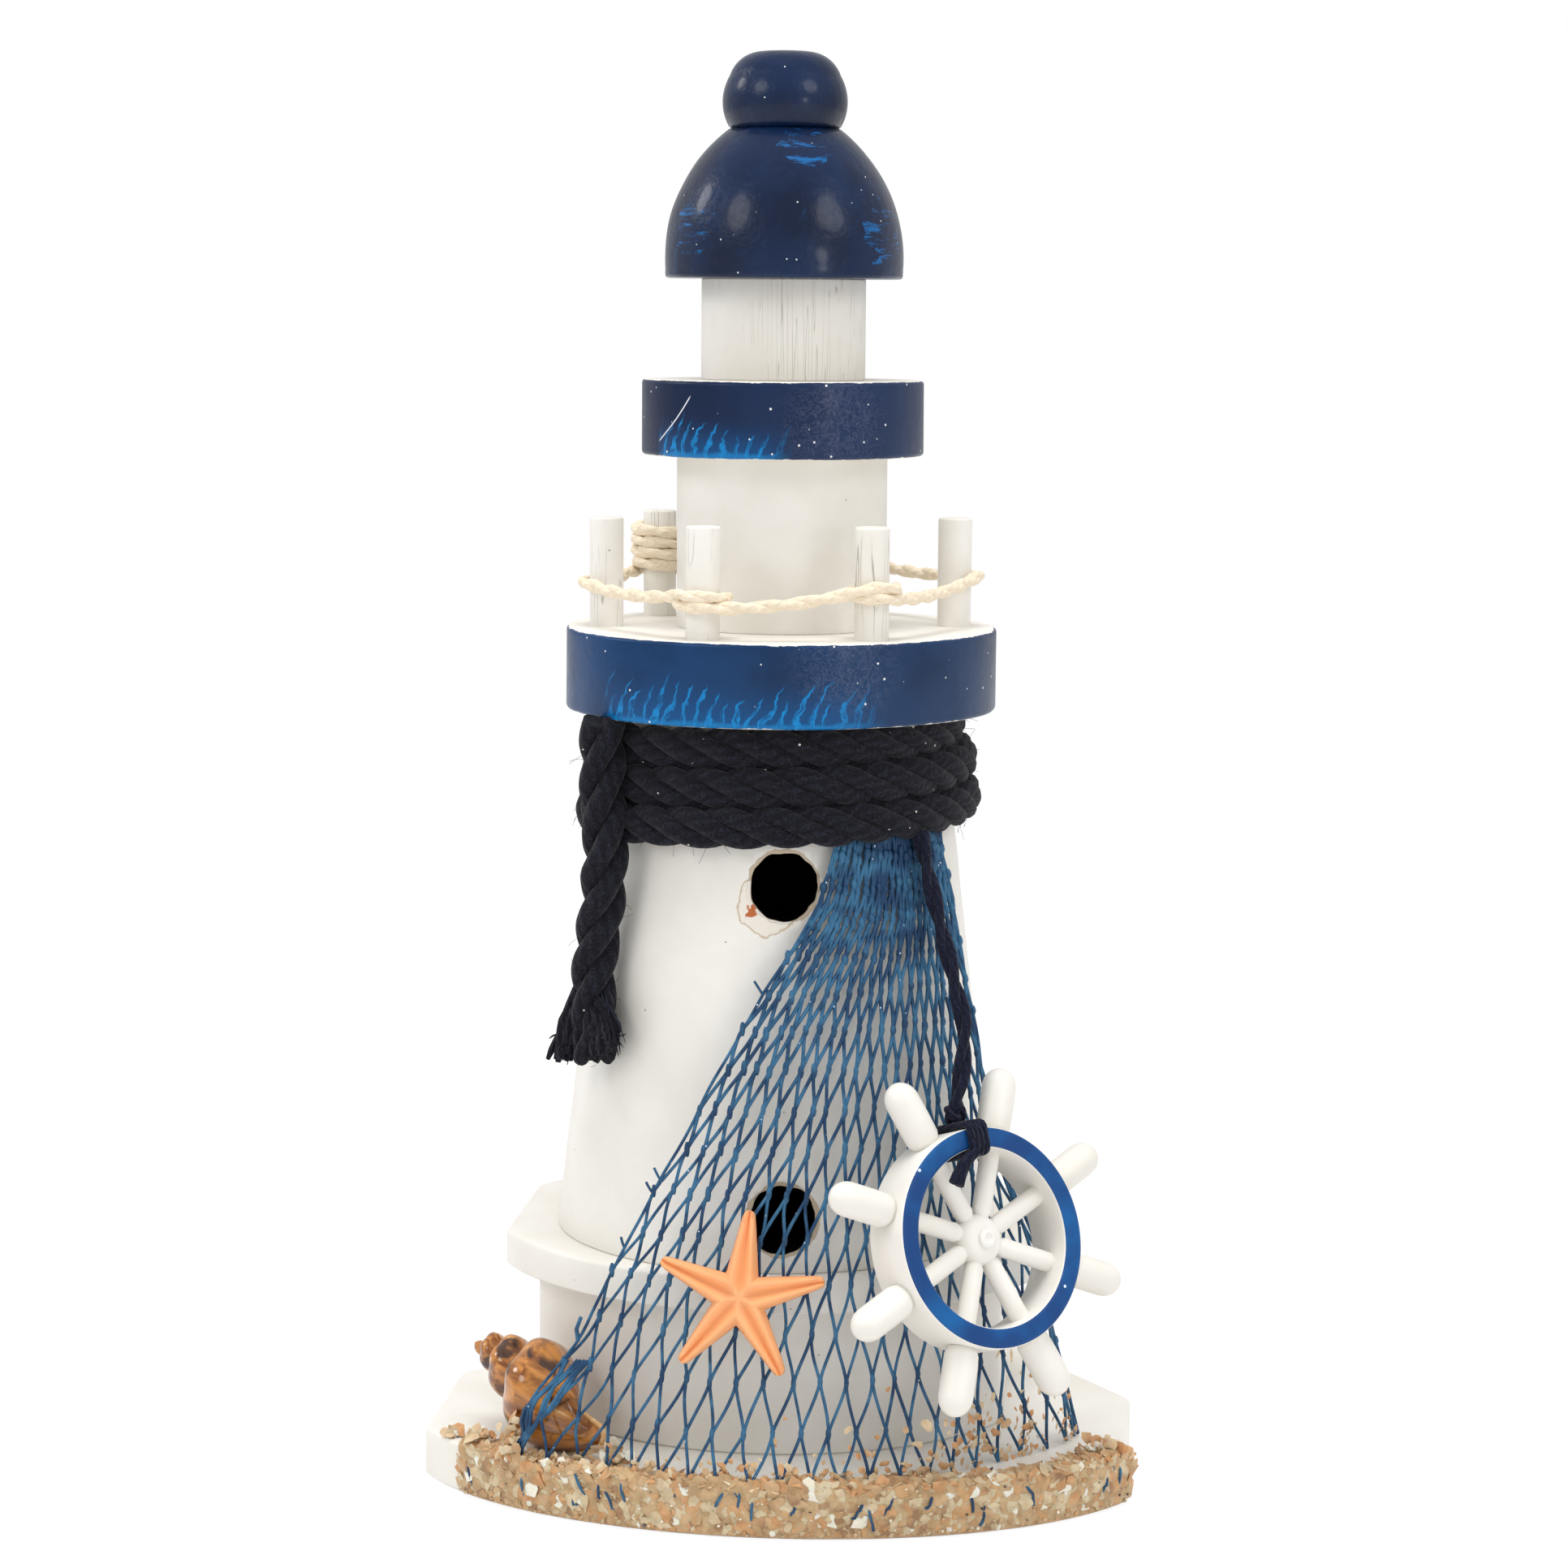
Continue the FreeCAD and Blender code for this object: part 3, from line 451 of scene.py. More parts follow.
def tower_look():
    """White paint with a chipped pale rim round each window and a bare patch by the upper one."""
    look = Look("tower_paint")
    colour, height = white_parts(look, 0.4)
    outward = tuple(polar(1, window_azimuth, 0))
    wander = (look.noise(420.0, 3.0, 0.6) - 0.5) * (1.6 * MM)
    for level in window_heights:
        offset = look.vector("SUBTRACT", look.place, (0, 0, level * MM))
        distance = look.vector("LENGTH", look.vector("CROSS_PRODUCT", offset, outward))
        front = look.vector("DOT_PRODUCT", offset, outward)
        ring = (distance + wander).between((window_radius + 0.55) * MM,
                                           (window_radius + 0.4) * MM)
        ring = ring * look.math("GREATER_THAN", front, 0.0)
        colour = look.mix(ring, colour, (198, 180, 156))
        height = height - ring
    spot = polar(32.6, window_azimuth - 5.2, window_heights[0] - 3.6)
    colour = look.mix(look.near(spot, 5.3, 1.5), colour, (202, 182, 156))
    patch = look.near(spot, 5.05, 1.5)
    colour = look.mix(patch, colour, (236, 228, 216))
    rust = look.near(polar(32.9, window_azimuth - 9.6, window_heights[0] - 4.6), 0.9, 2.0, 900.0)
    colour = look.mix(rust, colour, (186, 98, 44))
    return look.finish(colour, 0.45, height - patch * 1.2, 0.10)


def dome_look():
    """Crinkled navy gloss with white specks, and bright strokes where the brush ran dry."""
    look = Look("dome_paint")
    colour = look.mix(look.noise(60.0, 4.0).between(0.3, 0.7), navy_dark, navy)
    scuff = look.noise(160.0, 6.0, 0.75).between(0.56, 0.72)
    colour = look.mix(scuff * 0.22, colour, navy_violet)
    strokes = look.noise(1.0, 6.0, 0.75, 1.2, look.stretched(300.0, 300.0, 55.0))
    light = strokes.between(0.57, 0.66) * look.noise(45.0, 2.0).between(0.5, 0.66)
    colour = look.mix(light * 0.45, colour, bright_blue)
    colour = look.mix(look.dots(330.0, 0.055, 0.04), colour, (224, 226, 226))
    strokes = look.noise(1.0, 6.0, 0.8, 0.6, look.stretched(90.0, 90.0, 620.0)).between(0.5, 0.6)
    for spot, reach in ((polar(12.5, 24, 235.6), 4.6), (polar(18.8, -44, 223.0), 5.0),
                        (polar(18.6, 66, 222.0), 5.6)):
        patch = look.near(spot, reach, 5.0, 260.0)
        colour = look.mix(patch * strokes * 0.75, colour, bright_blue)
    height = look.noise(620.0, 4.0, 0.66, 0.5) * 0.55 + look.noise(110.0, 2.0)
    return look.finish(colour, 0.26, height, 0.3, Coat_Weight=0.25, Coat_Roughness=0.12,
                       Specular_IOR_Level=0.2)


def gallery_look(name, bottom, radius, reach, tall, navy_to_sheen_tones, sheen_spot, scratch=None):
    """Navy wall, lighter and greyer to the right as painted sheen with a web of pale lines as
    painted highlight, blue strokes that rise from its bottom edge, and white faces.
    """
    look = Look(name)
    angle, away, z = look.unrolled()
    around = angle * radius
    above = z * (1 / MM) - bottom
    across = look.parts(look.place)[0] * (1 / (radius * MM))
    # Painted sheen: the wall runs from darker navy on the left to a lighter, greyer tone on the
    # right, as the lamps light it
    colour = look.mix(across.between(-0.88, 0.75), navy_to_sheen_tones[0], navy_to_sheen_tones[1])
    colour = look.mix(look.noise(70.0, 4.0).between(0.35, 0.7) * 0.4, colour, navy_dark)
    # Painted highlight: a web of fine pale lines round the sheen spot on one side
    spot = look.vector("DISTANCE", look.place, tuple(sheen_spot * MM))
    sheen_web = abs(look.noise(620.0, 4.0, 0.6, 1.6) - 0.5).between(0.05, 0.01)
    sheen_web = sheen_web * spot.between(13 * MM, 3 * MM)
    colour = look.mix(sheen_web * 0.22, colour, (122, 124, 150))
    # Strokes that lean over as they rise, each with its own height, over a blue haze
    low, high = reach
    region = (angle.between(radians(low - 4), radians(low + 4))
              * angle.between(radians(high + 12), radians(high - 6)))
    haze = above.between(tall * 0.95, -1.5) * region
    colour = look.mix(haze * 0.75, colour, (4, 84, 144))
    wave = (look.noise(190.0, 3.0, 0.6) - 0.5) * 5.0
    lean = above * 0.2 + above * above * 0.03
    place = (around - lean + wave) / 2.6
    number = look.add("TexWhiteNoise", {"W": look.math("FLOOR", place)}, "Value",
                      noise_dimensions="1D")
    rise = number.blend(tall * 0.5, tall * 1.05)
    aside = abs(look.math("FRACT", place) - 0.5)
    body = 0.33 - above / rise * 0.25
    flame = (body - aside).between(0.0, 0.1) * (rise - above).between(-0.2, 0.9)
    hair = look.noise(1.0, 4.0, 0.7, at=look.join(place * 4.6, above * 0.3, 0.0))
    flame = flame * hair.between(0.42, 0.54).blend(0.12, 1.0)
    band = (above + wave * 0.3).between(1.3, 0.5)
    flame = look.math("MAXIMUM", flame, band * 0.7) * region
    colour = look.mix(flame, colour, look.mix(hair, (4, 96, 164), (14, 146, 212)))
    colour = look.mix(look.dots(300.0, 0.075, 0.055), colour, (226, 228, 228))
    if scratch:
        (a0, h0), (a1, h1) = scratch
        a0, a1 = radians(a0) * radius, radians(a1) * radius
        length = hypot(a1 - a0, h1 - h0)
        along_a, along_h = (a1 - a0) / length, (h1 - h0) / length
        da, dh = around - a0, above - h0
        along = da * along_a + dh * along_h
        bow = look.math("SINE", along * (pi / length)) * 0.7
        off = abs(da * along_h - dh * along_a + bow)
        inside = along.between(0.0, 1.0) * along.between(length, length - 1)
        colour = look.mix(off.between(0.16, 0.08) * inside, colour, (226, 230, 236))
    wander = look.noise(420.0, 4.0, 0.7) - 0.5
    inner = (away + wander * (1.1 * MM)).between((radius - 0.34) * MM, (radius - 0.46) * MM)
    colour = look.mix(inner, colour, white_parts(look, 0.4)[0])
    height = look.noise(560.0, 4.0, 0.66, 0.5) * 0.45 + look.noise(100.0, 2.0)
    rough = inner.blend(look.noise(300.0).blend(0.26, 0.4), 0.5)
    return look.finish(colour, rough, height, 0.16, Coat_Weight=0.05, Coat_Roughness=0.15,
                       Specular_IOR_Level=0.2)


def rope_look(name, dark, light, twist=5.0, pitch=3.0, hairy=0.5, specks=False):
    """Spun yarn: fine ridges that wind round each strand, by the strand's own coordinates, painted
    darker in the grooves as shade and lighter on the crests as highlight.
    """
    look = Look(name)
    u, v = look.parts(look.add("TexCoord", output="UV"))[:2]
    phase = u * twist + v / (pitch * MM)
    wave = look.math("SINE", (phase + look.noise(500.0, 3.0) * 1.6) * TURN)
    ridge = wave.between(-1.0, 1.0)
    fuzz = look.noise(2400.0, 3.0, 0.75)
    # Painted shade and highlight: darker in the grooves between the ridges, lighter on their
    # crests; the fuzz varies it at random
    tone = ridge.blend(0.35, 1.0) * fuzz.between(0.34, 0.74)
    colour = look.mix(tone, dark, light)
    if specks:
        colour = look.mix(look.dots(260.0, 0.06, 0.045), colour, (216, 214, 208))
    return look.finish(colour, 0.85, ridge * 0.7 + fuzz * hairy, 0.16, Sheen_Weight=0.08,
                       Sheen_Roughness=0.5, Specular_IOR_Level=0.2)


def net_look():
    look = Look("net_twine")
    tone = look.noise(210.0, 3.0).between(0.38, 0.66)
    colour = look.mix(tone, (20, 62, 100), (58, 116, 154))
    fibres = look.noise(2600.0, 3.0, 0.7)
    colour = look.mix(fibres * 0.35, colour, (14, 40, 70))
    colour = look.mix(look.dots(420.0, 0.075, 0.055), colour, (206, 220, 230))
    return look.finish(colour, 0.5, fibres, 0.1, Specular_IOR_Level=0.4)


def star_look():
    look = Look("starfish_resin")
    groove = look.add("Attribute", output="Fac", attribute_name="groove")
    colour = look.mix(look.noise(260.0, 3.0), (246, 168, 110), (252, 186, 130))
    # Painted shade: darker orange down the groove of each arm
    colour = look.mix(groove * 0.6, colour, (236, 150, 92))
    colour = look.mix(look.dots(170.0, 0.04, 0.03), colour, (120, 66, 40))
    return look.finish(colour, 0.42, look.noise(900.0, 2.0), 0.06, Subsurface_Weight=0.1,
                       Subsurface_Scale=0.0015)


def shell_look():
    """Glossy brown with streaks along the growth lines and dark patches on the shoulders."""
    look = Look("shell_gloss")
    u, v = look.parts(look.add("TexCoord", output="UV"))[:2]
    streaks = look.noise(5.0, 4.0, 0.6, 0.5, look.join(v * 3.0, u, 0.0))
    colour = look.mix(streaks.between(0.36, 0.62), (206, 138, 66), (128, 72, 24))
    colour = look.mix(streaks.between(0.36, 0.28) * 0.8, colour, (240, 204, 150))
    spots = look.noise(190.0, 2.0, 0.5, 0.5).between(0.58, 0.66)
    colour = look.mix(spots * 0.9, colour, (50, 30, 24))
    lines = look.noise(12.0, 3.0, at=look.join(v * 3.0, u, 0.0))
    return look.finish(colour, 0.14, lines, 0.06, Coat_Weight=0.5, Coat_Roughness=0.04)


def grain_look(name, low, high, roughness=0.4):
    look = Look(name)
    colour = look.mix(look.noise(420.0, 3.0).between(0.35, 0.65), low, high)
    return look.finish(colour, roughness, look.noise(1800.0, 2.0), 0.05, Subsurface_Weight=0.2,
                       Subsurface_Scale=0.0015)


def wood_look():
    look = Look("bare_dowel")
    fibres = look.noise(1.0, 4.0, at=look.stretched(900.0, 900.0, 60.0))
    colour = look.mix(fibres, (196, 160, 112), (226, 196, 150))
    return look.finish(colour, 0.7, fibres, 0.1)


def steel_look():
    look = Look("screw_steel")
    marks = look.noise(1500.0, 3.0)
    colour = look.mix(marks, (150, 150, 152), (190, 190, 192))
    return look.finish(colour, marks.blend(0.25, 0.45), marks, 0.03, Metallic=1.0)


def ring_look():
    """Blue paint on the wheel's face, with white specks."""
    look = Look("wheel_face_paint")
    tone = look.noise(90.0, 3.0).between(0.35, 0.7)
    colour = look.mix(tone, (22, 66, 124), (20, 96, 160))
    colour = look.mix(look.dots(300.0, 0.1, 0.08), colour, (214, 226, 240))
    return look.finish(colour, 0.4, look.noise(500.0, 3.0), 0.08, Specular_IOR_Level=0.25)


def black_look():
    """Dark inside of a window, with a thin ragged rim of bare wood."""
    look = Look("window_wall")
    away, z = look.unrolled()[1:]
    taper = (tower_foot_radius - tower_top_radius) / (tower_top - platform_top)
    wall = (tower_foot_radius + platform_top * taper) * MM - z * taper
    deep = wall - away + (look.noise(420.0, 3.0) - 0.5) * (1.2 * MM)
    colour = look.mix(deep.between(0.7 * MM, 0.3 * MM), (5, 5, 6), (196, 182, 160))
    return look.finish(colour, 0.9, look.noise(700.0), 0.2, Specular_IOR_Level=0.0)


# Shapes
class Shape:
    """Points in millimetres and faces with a material number, gathered for one piece."""

    def __init__(self):
        self.points, self.faces, self.looks, self.uvs = [], [], [], []

    def face(self, corners, look=0, uvs=None):
        self.faces.append(corners)
        self.looks.append(look)
        self.uvs.append(uvs or [(0, 0)] * len(corners))

    def skin(self, rings, look=0, caps=True, lengths=None):
        """Skin over rings of as many points each, with a cap at each end."""
        start, count, last = len(self.points), len(rings[0]), len(rings) - 1
        lengths = lengths or range(len(rings))
        number = look if callable(look) else lambda row: look
        for ring in rings:
            self.points += ring
        for row in range(last):
            low = start + row * count
            high = low + count
            v0, v1 = lengths[row], lengths[row + 1]
            for k in range(count):
                j = (k + 1) % count
                u0, u1 = k / count, (k + 1) / count
                self.face((low + k, low + j, high + j, high + k), number(row),
                          [(u0, v0), (u1, v0), (u1, v1), (u0, v1)])
        if caps:
            end = start + last * count
            self.face(tuple(range(start, start + count))[::-1], number(0))
            self.face(tuple(range(end, end + count)), number(last - 1))

    def tube(self, points, radius, sides=8, look=0, caps=True):
        """Round tube along points, with a radius or a list of one for each point."""
        sizes = radius if isinstance(radius, list) else [radius] * len(points)
        rings = [[point + circled(across, up, TURN * i / sides, size) for i in range(sides)]
                 for (point, across, up), size in zip(frames(points), sizes)]
        self.skin(rings, look, caps, [gone * MM for gone in distances(points)])

    def grain(self, centre, size, dice, look=0):
        """Small broken lump with eight faces."""
        stretch = [size * dice.uniform(0.6, 1.3) for _ in range(3)]
        turn = Matrix.Rotation(dice.uniform(0, 6.28), 3, Vector(
            (dice.uniform(-1, 1), dice.uniform(-1, 1), dice.uniform(-1, 1.01))).normalized())
        start = len(self.points)
        for axis, reach in zip(turn.transposed(), stretch):
            self.points.append(centre + axis * reach * dice.uniform(0.7, 1.2))
            self.points.append(centre - axis * reach * dice.uniform(0.7, 1.2))
        for a in (0, 1):
            for b in (2, 3):
                for c in (4, 5):
                    corners = (start + a, start + b, start + c)
                    self.face(corners if (a + b + c) % 2 else corners[::-1], look)

    def place(self, matrix):
        self.points = [matrix @ Vector(p) for p in self.points]

    def mesh(self, name, looks):
        mesh = bpy.data.meshes.new(name)
        mesh.from_pydata([tuple(Vector(p) * MM) for p in self.points], [], self.faces)
        for look in looks:
            mesh.materials.append(look)
        return mesh

    def piece(self, name, slot, looks, replaces=(), sharp=35.0, body="lighthouse"):
        mesh = self.mesh(name, looks)
        mesh.polygons.foreach_set("material_index", self.looks)
        layer = mesh.uv_layers.new(name="along")
        layer.data.foreach_set("uv", [x for face in self.uvs for uv in face for x in uv])
        mesh.shade_smooth()
        mesh.set_sharp_from_angle(angle=radians(sharp))
        mesh.update()
        thing = add_object(name, mesh)
        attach(thing, body)
        if replaces:
            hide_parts(*replaces)
        return thing


def frames(points):
    """Each point with two directions across the path, turned as little as possible."""
    result, across = [], None
    for k, point in enumerate(points):
        ahead = (points[min(k + 1, len(points) - 1)] - points[max(k - 1, 0)]).normalized()
        if across is None:
            across = ahead.cross(UP)
            if across.length < 0.2:
                across = ahead.cross(Vector((1, 0, 0)))
        across = (across - ahead * across.dot(ahead)).normalized()
        result.append((point, across, ahead.cross(across)))
    return result


def distances(points):
    """How far along the path each point lies."""
    gone = [0.0]
    for a, b in zip(points, points[1:]):
        gone.append(gone[-1] + (b - a).length)
    return gone


def resampled(points, step):
    """Points in even steps along a run of points."""
    result = [points[0].copy()]
    left = step
    for a, b in zip(points, points[1:]):
        run = (b - a).length
        gone = 0.0
        while run - gone > left:
            gone += left
            result.append(a.lerp(b, gone / run))
            left = step
        left -= run - gone
    result.append(points[-1].copy())
    return result


def strands(points, offset, count, lay, phase=0.0):
    """Centre lines of strands that wind round a path, in a right-handed lay."""
    path = list(zip(frames(points), distances(points)))
    return [[point + circled(across, up, phase + TURN * (strand / count + gone / lay), offset)
             for (point, across, up), gone in path] for strand in range(count)]


def spline_points(route):
    """Points read from the route's smooth curve."""
    data = bpy.data.curves.new("route", "CURVE")
    data.dimensions = "3D"
    data.resolution_u = 24
    spline = data.splines.new("NURBS")
    spline.points.add(len(route) - 1)
    for point, place in zip(spline.points, route):
        point.co = (*(Vector(place) * MM), 1)
    spline.order_u = 3
    spline.use_endpoint_u = True
    holder = add_object("route", data)
    mesh = final_mesh(holder)
    points = [v.co / MM for v in mesh.vertices]
    bpy.data.objects.remove(holder)
    bpy.data.meshes.remove(mesh)
    return points


def rounded(outline, size, steps=4):
    """(radius, height) outline with its inner corners rounded."""
    result = [outline[0]]
    for points in zip(outline, outline[1:], outline[2:]):
        before, corner, after = map(Vector, points)
        back, ahead = before - corner, after - corner
        reach = min(size, back.length * 0.45, ahead.length * 0.45)
        start = corner + back.normalized() * reach
        end = corner + ahead.normalized() * reach
        result += [tuple(point) for point in bent(start, corner, end, levels(0, 1, steps))]
    return result + [outline[-1]]


def three_point_arc(first, middle, last, steps):
    """Points on the circle through three (radius, height) points."""
    a, b, c = (complex(*point) for point in (first, middle, last))
    turn = (c - a) / (b - a)
    centre = a + (b - a) * (abs(turn) ** 2 - turn) / (2j * -turn.imag)
    low, high = (atan2((p - centre).imag, (p - centre).real) for p in (a, c))
    return [(centre.real + abs(a - centre) * cos(angle), centre.imag + abs(a - centre) * sin(angle))
            for angle in levels(low, high, steps)]


def lathe(outline, segments=128, wobble=0.0):
    """Turned shape about the Z axis, a little uneven by hand."""
    rings = [[polar(radius, -360.0 * k / segments, height) for k in range(segments)]
             for radius, height in outline]
    for ring in rings:
        for point in ring:
            shift = noise.noise(point * 0.12) * wobble
            point += Vector((point.x, point.y, 0)).normalized() * shift
    shape = Shape()
    shape.skin(rings)
    shape.faces = [face[::-1] for face in shape.faces]
    shape.uvs = [uv[::-1] for uv in shape.uvs]
    return shape


def turned(name, node, slot, looks, outline, segments, wobble=0.0, sharp=35.0,
           body="lighthouse", place=Matrix()):
    """Piece turned from a (radius, height) outline, put in its place."""
    shape = lathe(outline, segments, wobble)
    shape.place(place)
    return shape.piece(name, slot, looks, [node], sharp, body)


def block_outline(foot_radius, top_radius, low, high, size, steps=4, core=2):
    """Outline of a plain turned block with rounded edges."""
    return rounded([(core, low), (foot_radius, low), (top_radius, high), (core, high)],
                   size, steps)


# Boards
def plan_outline(node):
    """Outer edge of a board seen from above, from its CAD points, in even steps."""
    found = sorted({(round(v.co.x / MM, 3), round(v.co.y / MM, 3))
                    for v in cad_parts[node].data.vertices})

    def half(points):
        chain = []
        for p in points:
            while len(chain) > 1 and ((chain[-1][0] - chain[-2][0]) * (p[1] - chain[-2][1])
                                      - (chain[-1][1] - chain[-2][1]) * (p[0] - chain[-2][0])) <= 0:
                chain.pop()
            chain.append(p)
        return chain[:-1]

    loop = [Vector((x, y, 0)) for x, y in half(found) + half(found[::-1])]
    points = resampled(loop + [loop[0]], 0.6)[:-1]
    for _ in range(2):
        points = [(before + point * 2 + after) / 4 for before, point, after
                  in zip(points[-1:] + points[:-1], points, points[1:] + points[:1])]
    return points


def board(node, name, look, edge=0.8):
    """Sawn board with softened edges."""
    outline = plan_outline(node)
    low, high = span(node)
    count = len(outline)
    outward = []
    for k in range(count):
        along = outline[(k + 1) % count] - outline[k - 1]
        outward.append(Vector((along.y, -along.x, 0)).normalized())
    rows = [(edge * 0.5, low), (0, low + edge * 0.5), (0, low + (high - low) * 0.5),
            (0, high - edge)]
    for turn in levels(0, pi / 2, 4)[1:]:
        rows.append((edge * (1 - cos(turn)), high - edge + edge * sin(turn)))
    rings = []
    for inset, height in rows:
        ring = []
        for point, out in zip(outline, outward):
            shift = noise.noise(Vector((point.x, point.y, height)) * 0.09) * 0.25
            ring.append(point - out * (inset + max(shift, 0)) + UP * height)
        rings.append(ring)
    centre = sum(outline, Vector()) / count
    caps = []
    for ring, height in ((rings[0], low), (rings[-1], high)):
        middle = centre + UP * height
        caps.append([middle + (point - middle) * 0.95 for point in ring])
    shape = Shape()
    shape.skin([caps[0], *rings, caps[1]])
    shape.piece(name, "white_painted_wood", [look], [node])


# Turned pieces
def tower(looks):
    outline = block_outline(tower_foot_radius, tower_top_radius, platform_top, tower_top, 0.5)
    foot, top = outline[:6], outline[6:]
    middle = [tuple(Vector(foot[-1]).lerp(Vector(top[0]), share)) for share in levels(0, 1, 40)]
    body = turned("tower", "tower_body", "white_painted_wood", looks,
                  foot + middle[1:-1] + top, 180, 0.12)
    for level in window_heights:
        carve_window(body, level, looks[1])


def tower_reach(height):
    share = (height - platform_top) / (tower_top - platform_top)
    return tower_foot_radius + (tower_top_radius - tower_foot_radius) * share


def carve_window(body, level, wall_look):
    """Cuts a blind hole with a slightly ragged rim."""
    reach = tower_reach(level)
    outward = polar(1, window_azimuth, 0)
    across = UP.cross(outward)
    rings = []
    for depth in (-window_depth, -2.5, -0.9, 0.0, 1.2, 3.0):
        ring = []
        for k in range(72):
            angle = TURN * k / 72
            ragged = waver(cos(angle) * 3, sin(angle) * 3, level)
            flare = 0.25 if depth > -0.5 else 0
            size = window_radius - 0.15 + flare + ragged * 0.45
            ring.append(outward * (reach + depth) + UP * level
                        + circled(across, UP, angle, size))
        rings.append(ring)
    cutter = Shape()
    cutter.skin(rings)
    tool = add_object("cutter", cutter.mesh("cutter", [wall_look]))
    modifier = body.modifiers.new("window", "BOOLEAN")
    modifier.operation = "DIFFERENCE"
    modifier.solver = "EXACT"
    modifier.object = tool
    fresh = final_mesh(body)
    body.modifiers.clear()
    body.data = fresh
    bpy.data.objects.remove(tool)
    # The hole's walls and back get the dark look
    for face in fresh.polygons:
        place = face.center / MM - UP * level
        front = place.dot(outward)
        aside = (place - outward * front).length
        if front > 0 and aside < window_radius + 1 and (
                abs(face.normal.dot(outward)) < 0.7 or front < reach - 2):
            face.material_index = 1


def gallery(node, name, radius, look):
    low, high = span(node)
    outline = block_outline(radius, radius, low, high, 0.8, 5)
    outline = [outline[0], (radius - 4, low), *outline[1:-1], (radius - 4, high), outline[-1]]
    turned(name, node, "navy_painted_wood", [look], outline, 160, 0.25)


def room(node, name, radius, look):
    outline = block_outline(radius, radius, *span(node), 0.3, 3)
    turned(name, node, "white_painted_wood", [look], outline, 128, 0.1)


def dome(look):
    low = lantern_top
    arc = three_point_arc((dome_radius, low + 1.6), (19.1, low + 14.4), (10.0, dome_top), 28)
    foot = rounded([(2, low), (dome_radius, low), (dome_radius, low + 1.6)], 0.7, 4)[:-1]
    turned("dome", "dome_roof", "navy_painted_wood", [look], foot + arc + [(2, dome_top)],
           144, 0.15, 60)


def knob(look):
    low = dome_top
    outline = [(2, low), (9.3, low), (9.6, low + 0.15)]
    outline += three_point_arc((10.0, low + 0.5), (11.1, low + 4.7), (9.9, low + 9.4), 14)
    outline += three_point_arc((9.9, low + 9.4), (7.7, low + 12.4), (4.4, knob_top), 10)[1:]
    outline += [(2, knob_top + 0.02)]
    turned("knob", "finial_knob", "navy_painted_wood", [look], outline, 128, 0.12, 60)


def post(number, azimuth, look):
    node = "railing_post_%d" % number
    low = lower_gallery_top - 2
    outline = block_outline(post_radius, post_radius, low, span(node)[1], 0.45, 3, 0.4)
    dice = random.Random(number)
    lean = Matrix.Rotation(radians(dice.uniform(-0.8, 0.8)), 4, "X")
    lift = Matrix.Translation(UP * low)
    turned("post_%d" % number, node, "white_turned_wood", [look], outline, 40, 0.12,
           place=Matrix.Translation(polar(post_circle_radius, azimuth, 0)) @ lift @ lean
           @ lift.inverted())


# Ropes and cords
def add_hairs(shape, line, radius, count, longest, dice, thickness=0.035):
    """Loose fibres that stand off a strand, in the piece's second look."""
    framed = frames(line)
    for _ in range(count):
        point, across, up = framed[dice.randrange(len(framed))]
        out = circled(across, up, dice.uniform(0, TURN))
        side = tossed(dice)
        reach = dice.uniform(0.3, 1) * longest
        start = point + out * radius * 0.9
        middle = start + (out + side * 0.6) * reach * 0.5
        end = middle + (out * 0.4 + side + UP * -0.3) * reach * 0.5
        shape.tube(bent(start, middle, end, (0, 0.34, 0.67, 1)), thickness, 3, 1, False)


def wound_rope(look, hair):
    """Three strands on a flattened course, squeezed where it starts under the gallery."""
    dice = random.Random(5)
    shape = Shape()
    steps = 190

    def course(turn):
        size = 0.5 + 0.5 * smooth_step(0, rope_front_turn, turn)
        height = tower_top - rope_half_height * size
        return size, height - rope_pitch * max(turn - rope_front_turn, 0)

    for strand in range(3):
        line, sizes = [], []
        for k in range(rope_turns * steps + 1):
            turn = k / steps
            size, height = course(turn)
            height += waver(turn * 4, 4.1, 2) * 0.3
            radius = tower_reach(height) + rope_half_depth * size
            radius += waver(turn * 6, 0.3, 1) * 0.25
            phase = TURN * (strand / 3 + rope_twists * turn)
            radius += (rope_half_depth - rope_strand_radius) * size * cos(phase)
            height += (rope_half_height - rope_strand_radius) * size * sin(phase)
            line.append(polar(radius, rope_start_azimuth - 360 * turn, height))
            swell = 1 + 0.1 * waver(turn * 30, strand * 7, 3)
            sizes.append(rope_strand_radius * size * swell)
        shape.tube(line, sizes, 12)
        add_hairs(shape, line, rope_strand_radius, 230, 2.6, dice)
    # Inner yarn that closes the grooves between the turns
    for before in (1, 0):
        line, sizes = [], []
        for k in range((rope_turns - before) * steps + 1):
            turn = before + k / steps
            size, height = course(turn)
            if before:
                upper_size, upper = course(turn - 1)
                size, height = (size + upper_size) / 2, (height + upper) / 2
            line.append(polar(tower_reach(height) + 1.5 * size, rope_start_azimuth - 360 * turn,
                              height))
            sizes.append(1.6 * size)
        shape.tube(line, sizes, 10)
    shape.piece("wound_rope", "navy_rope", [look, hair], ["rope_wrap"], 80)


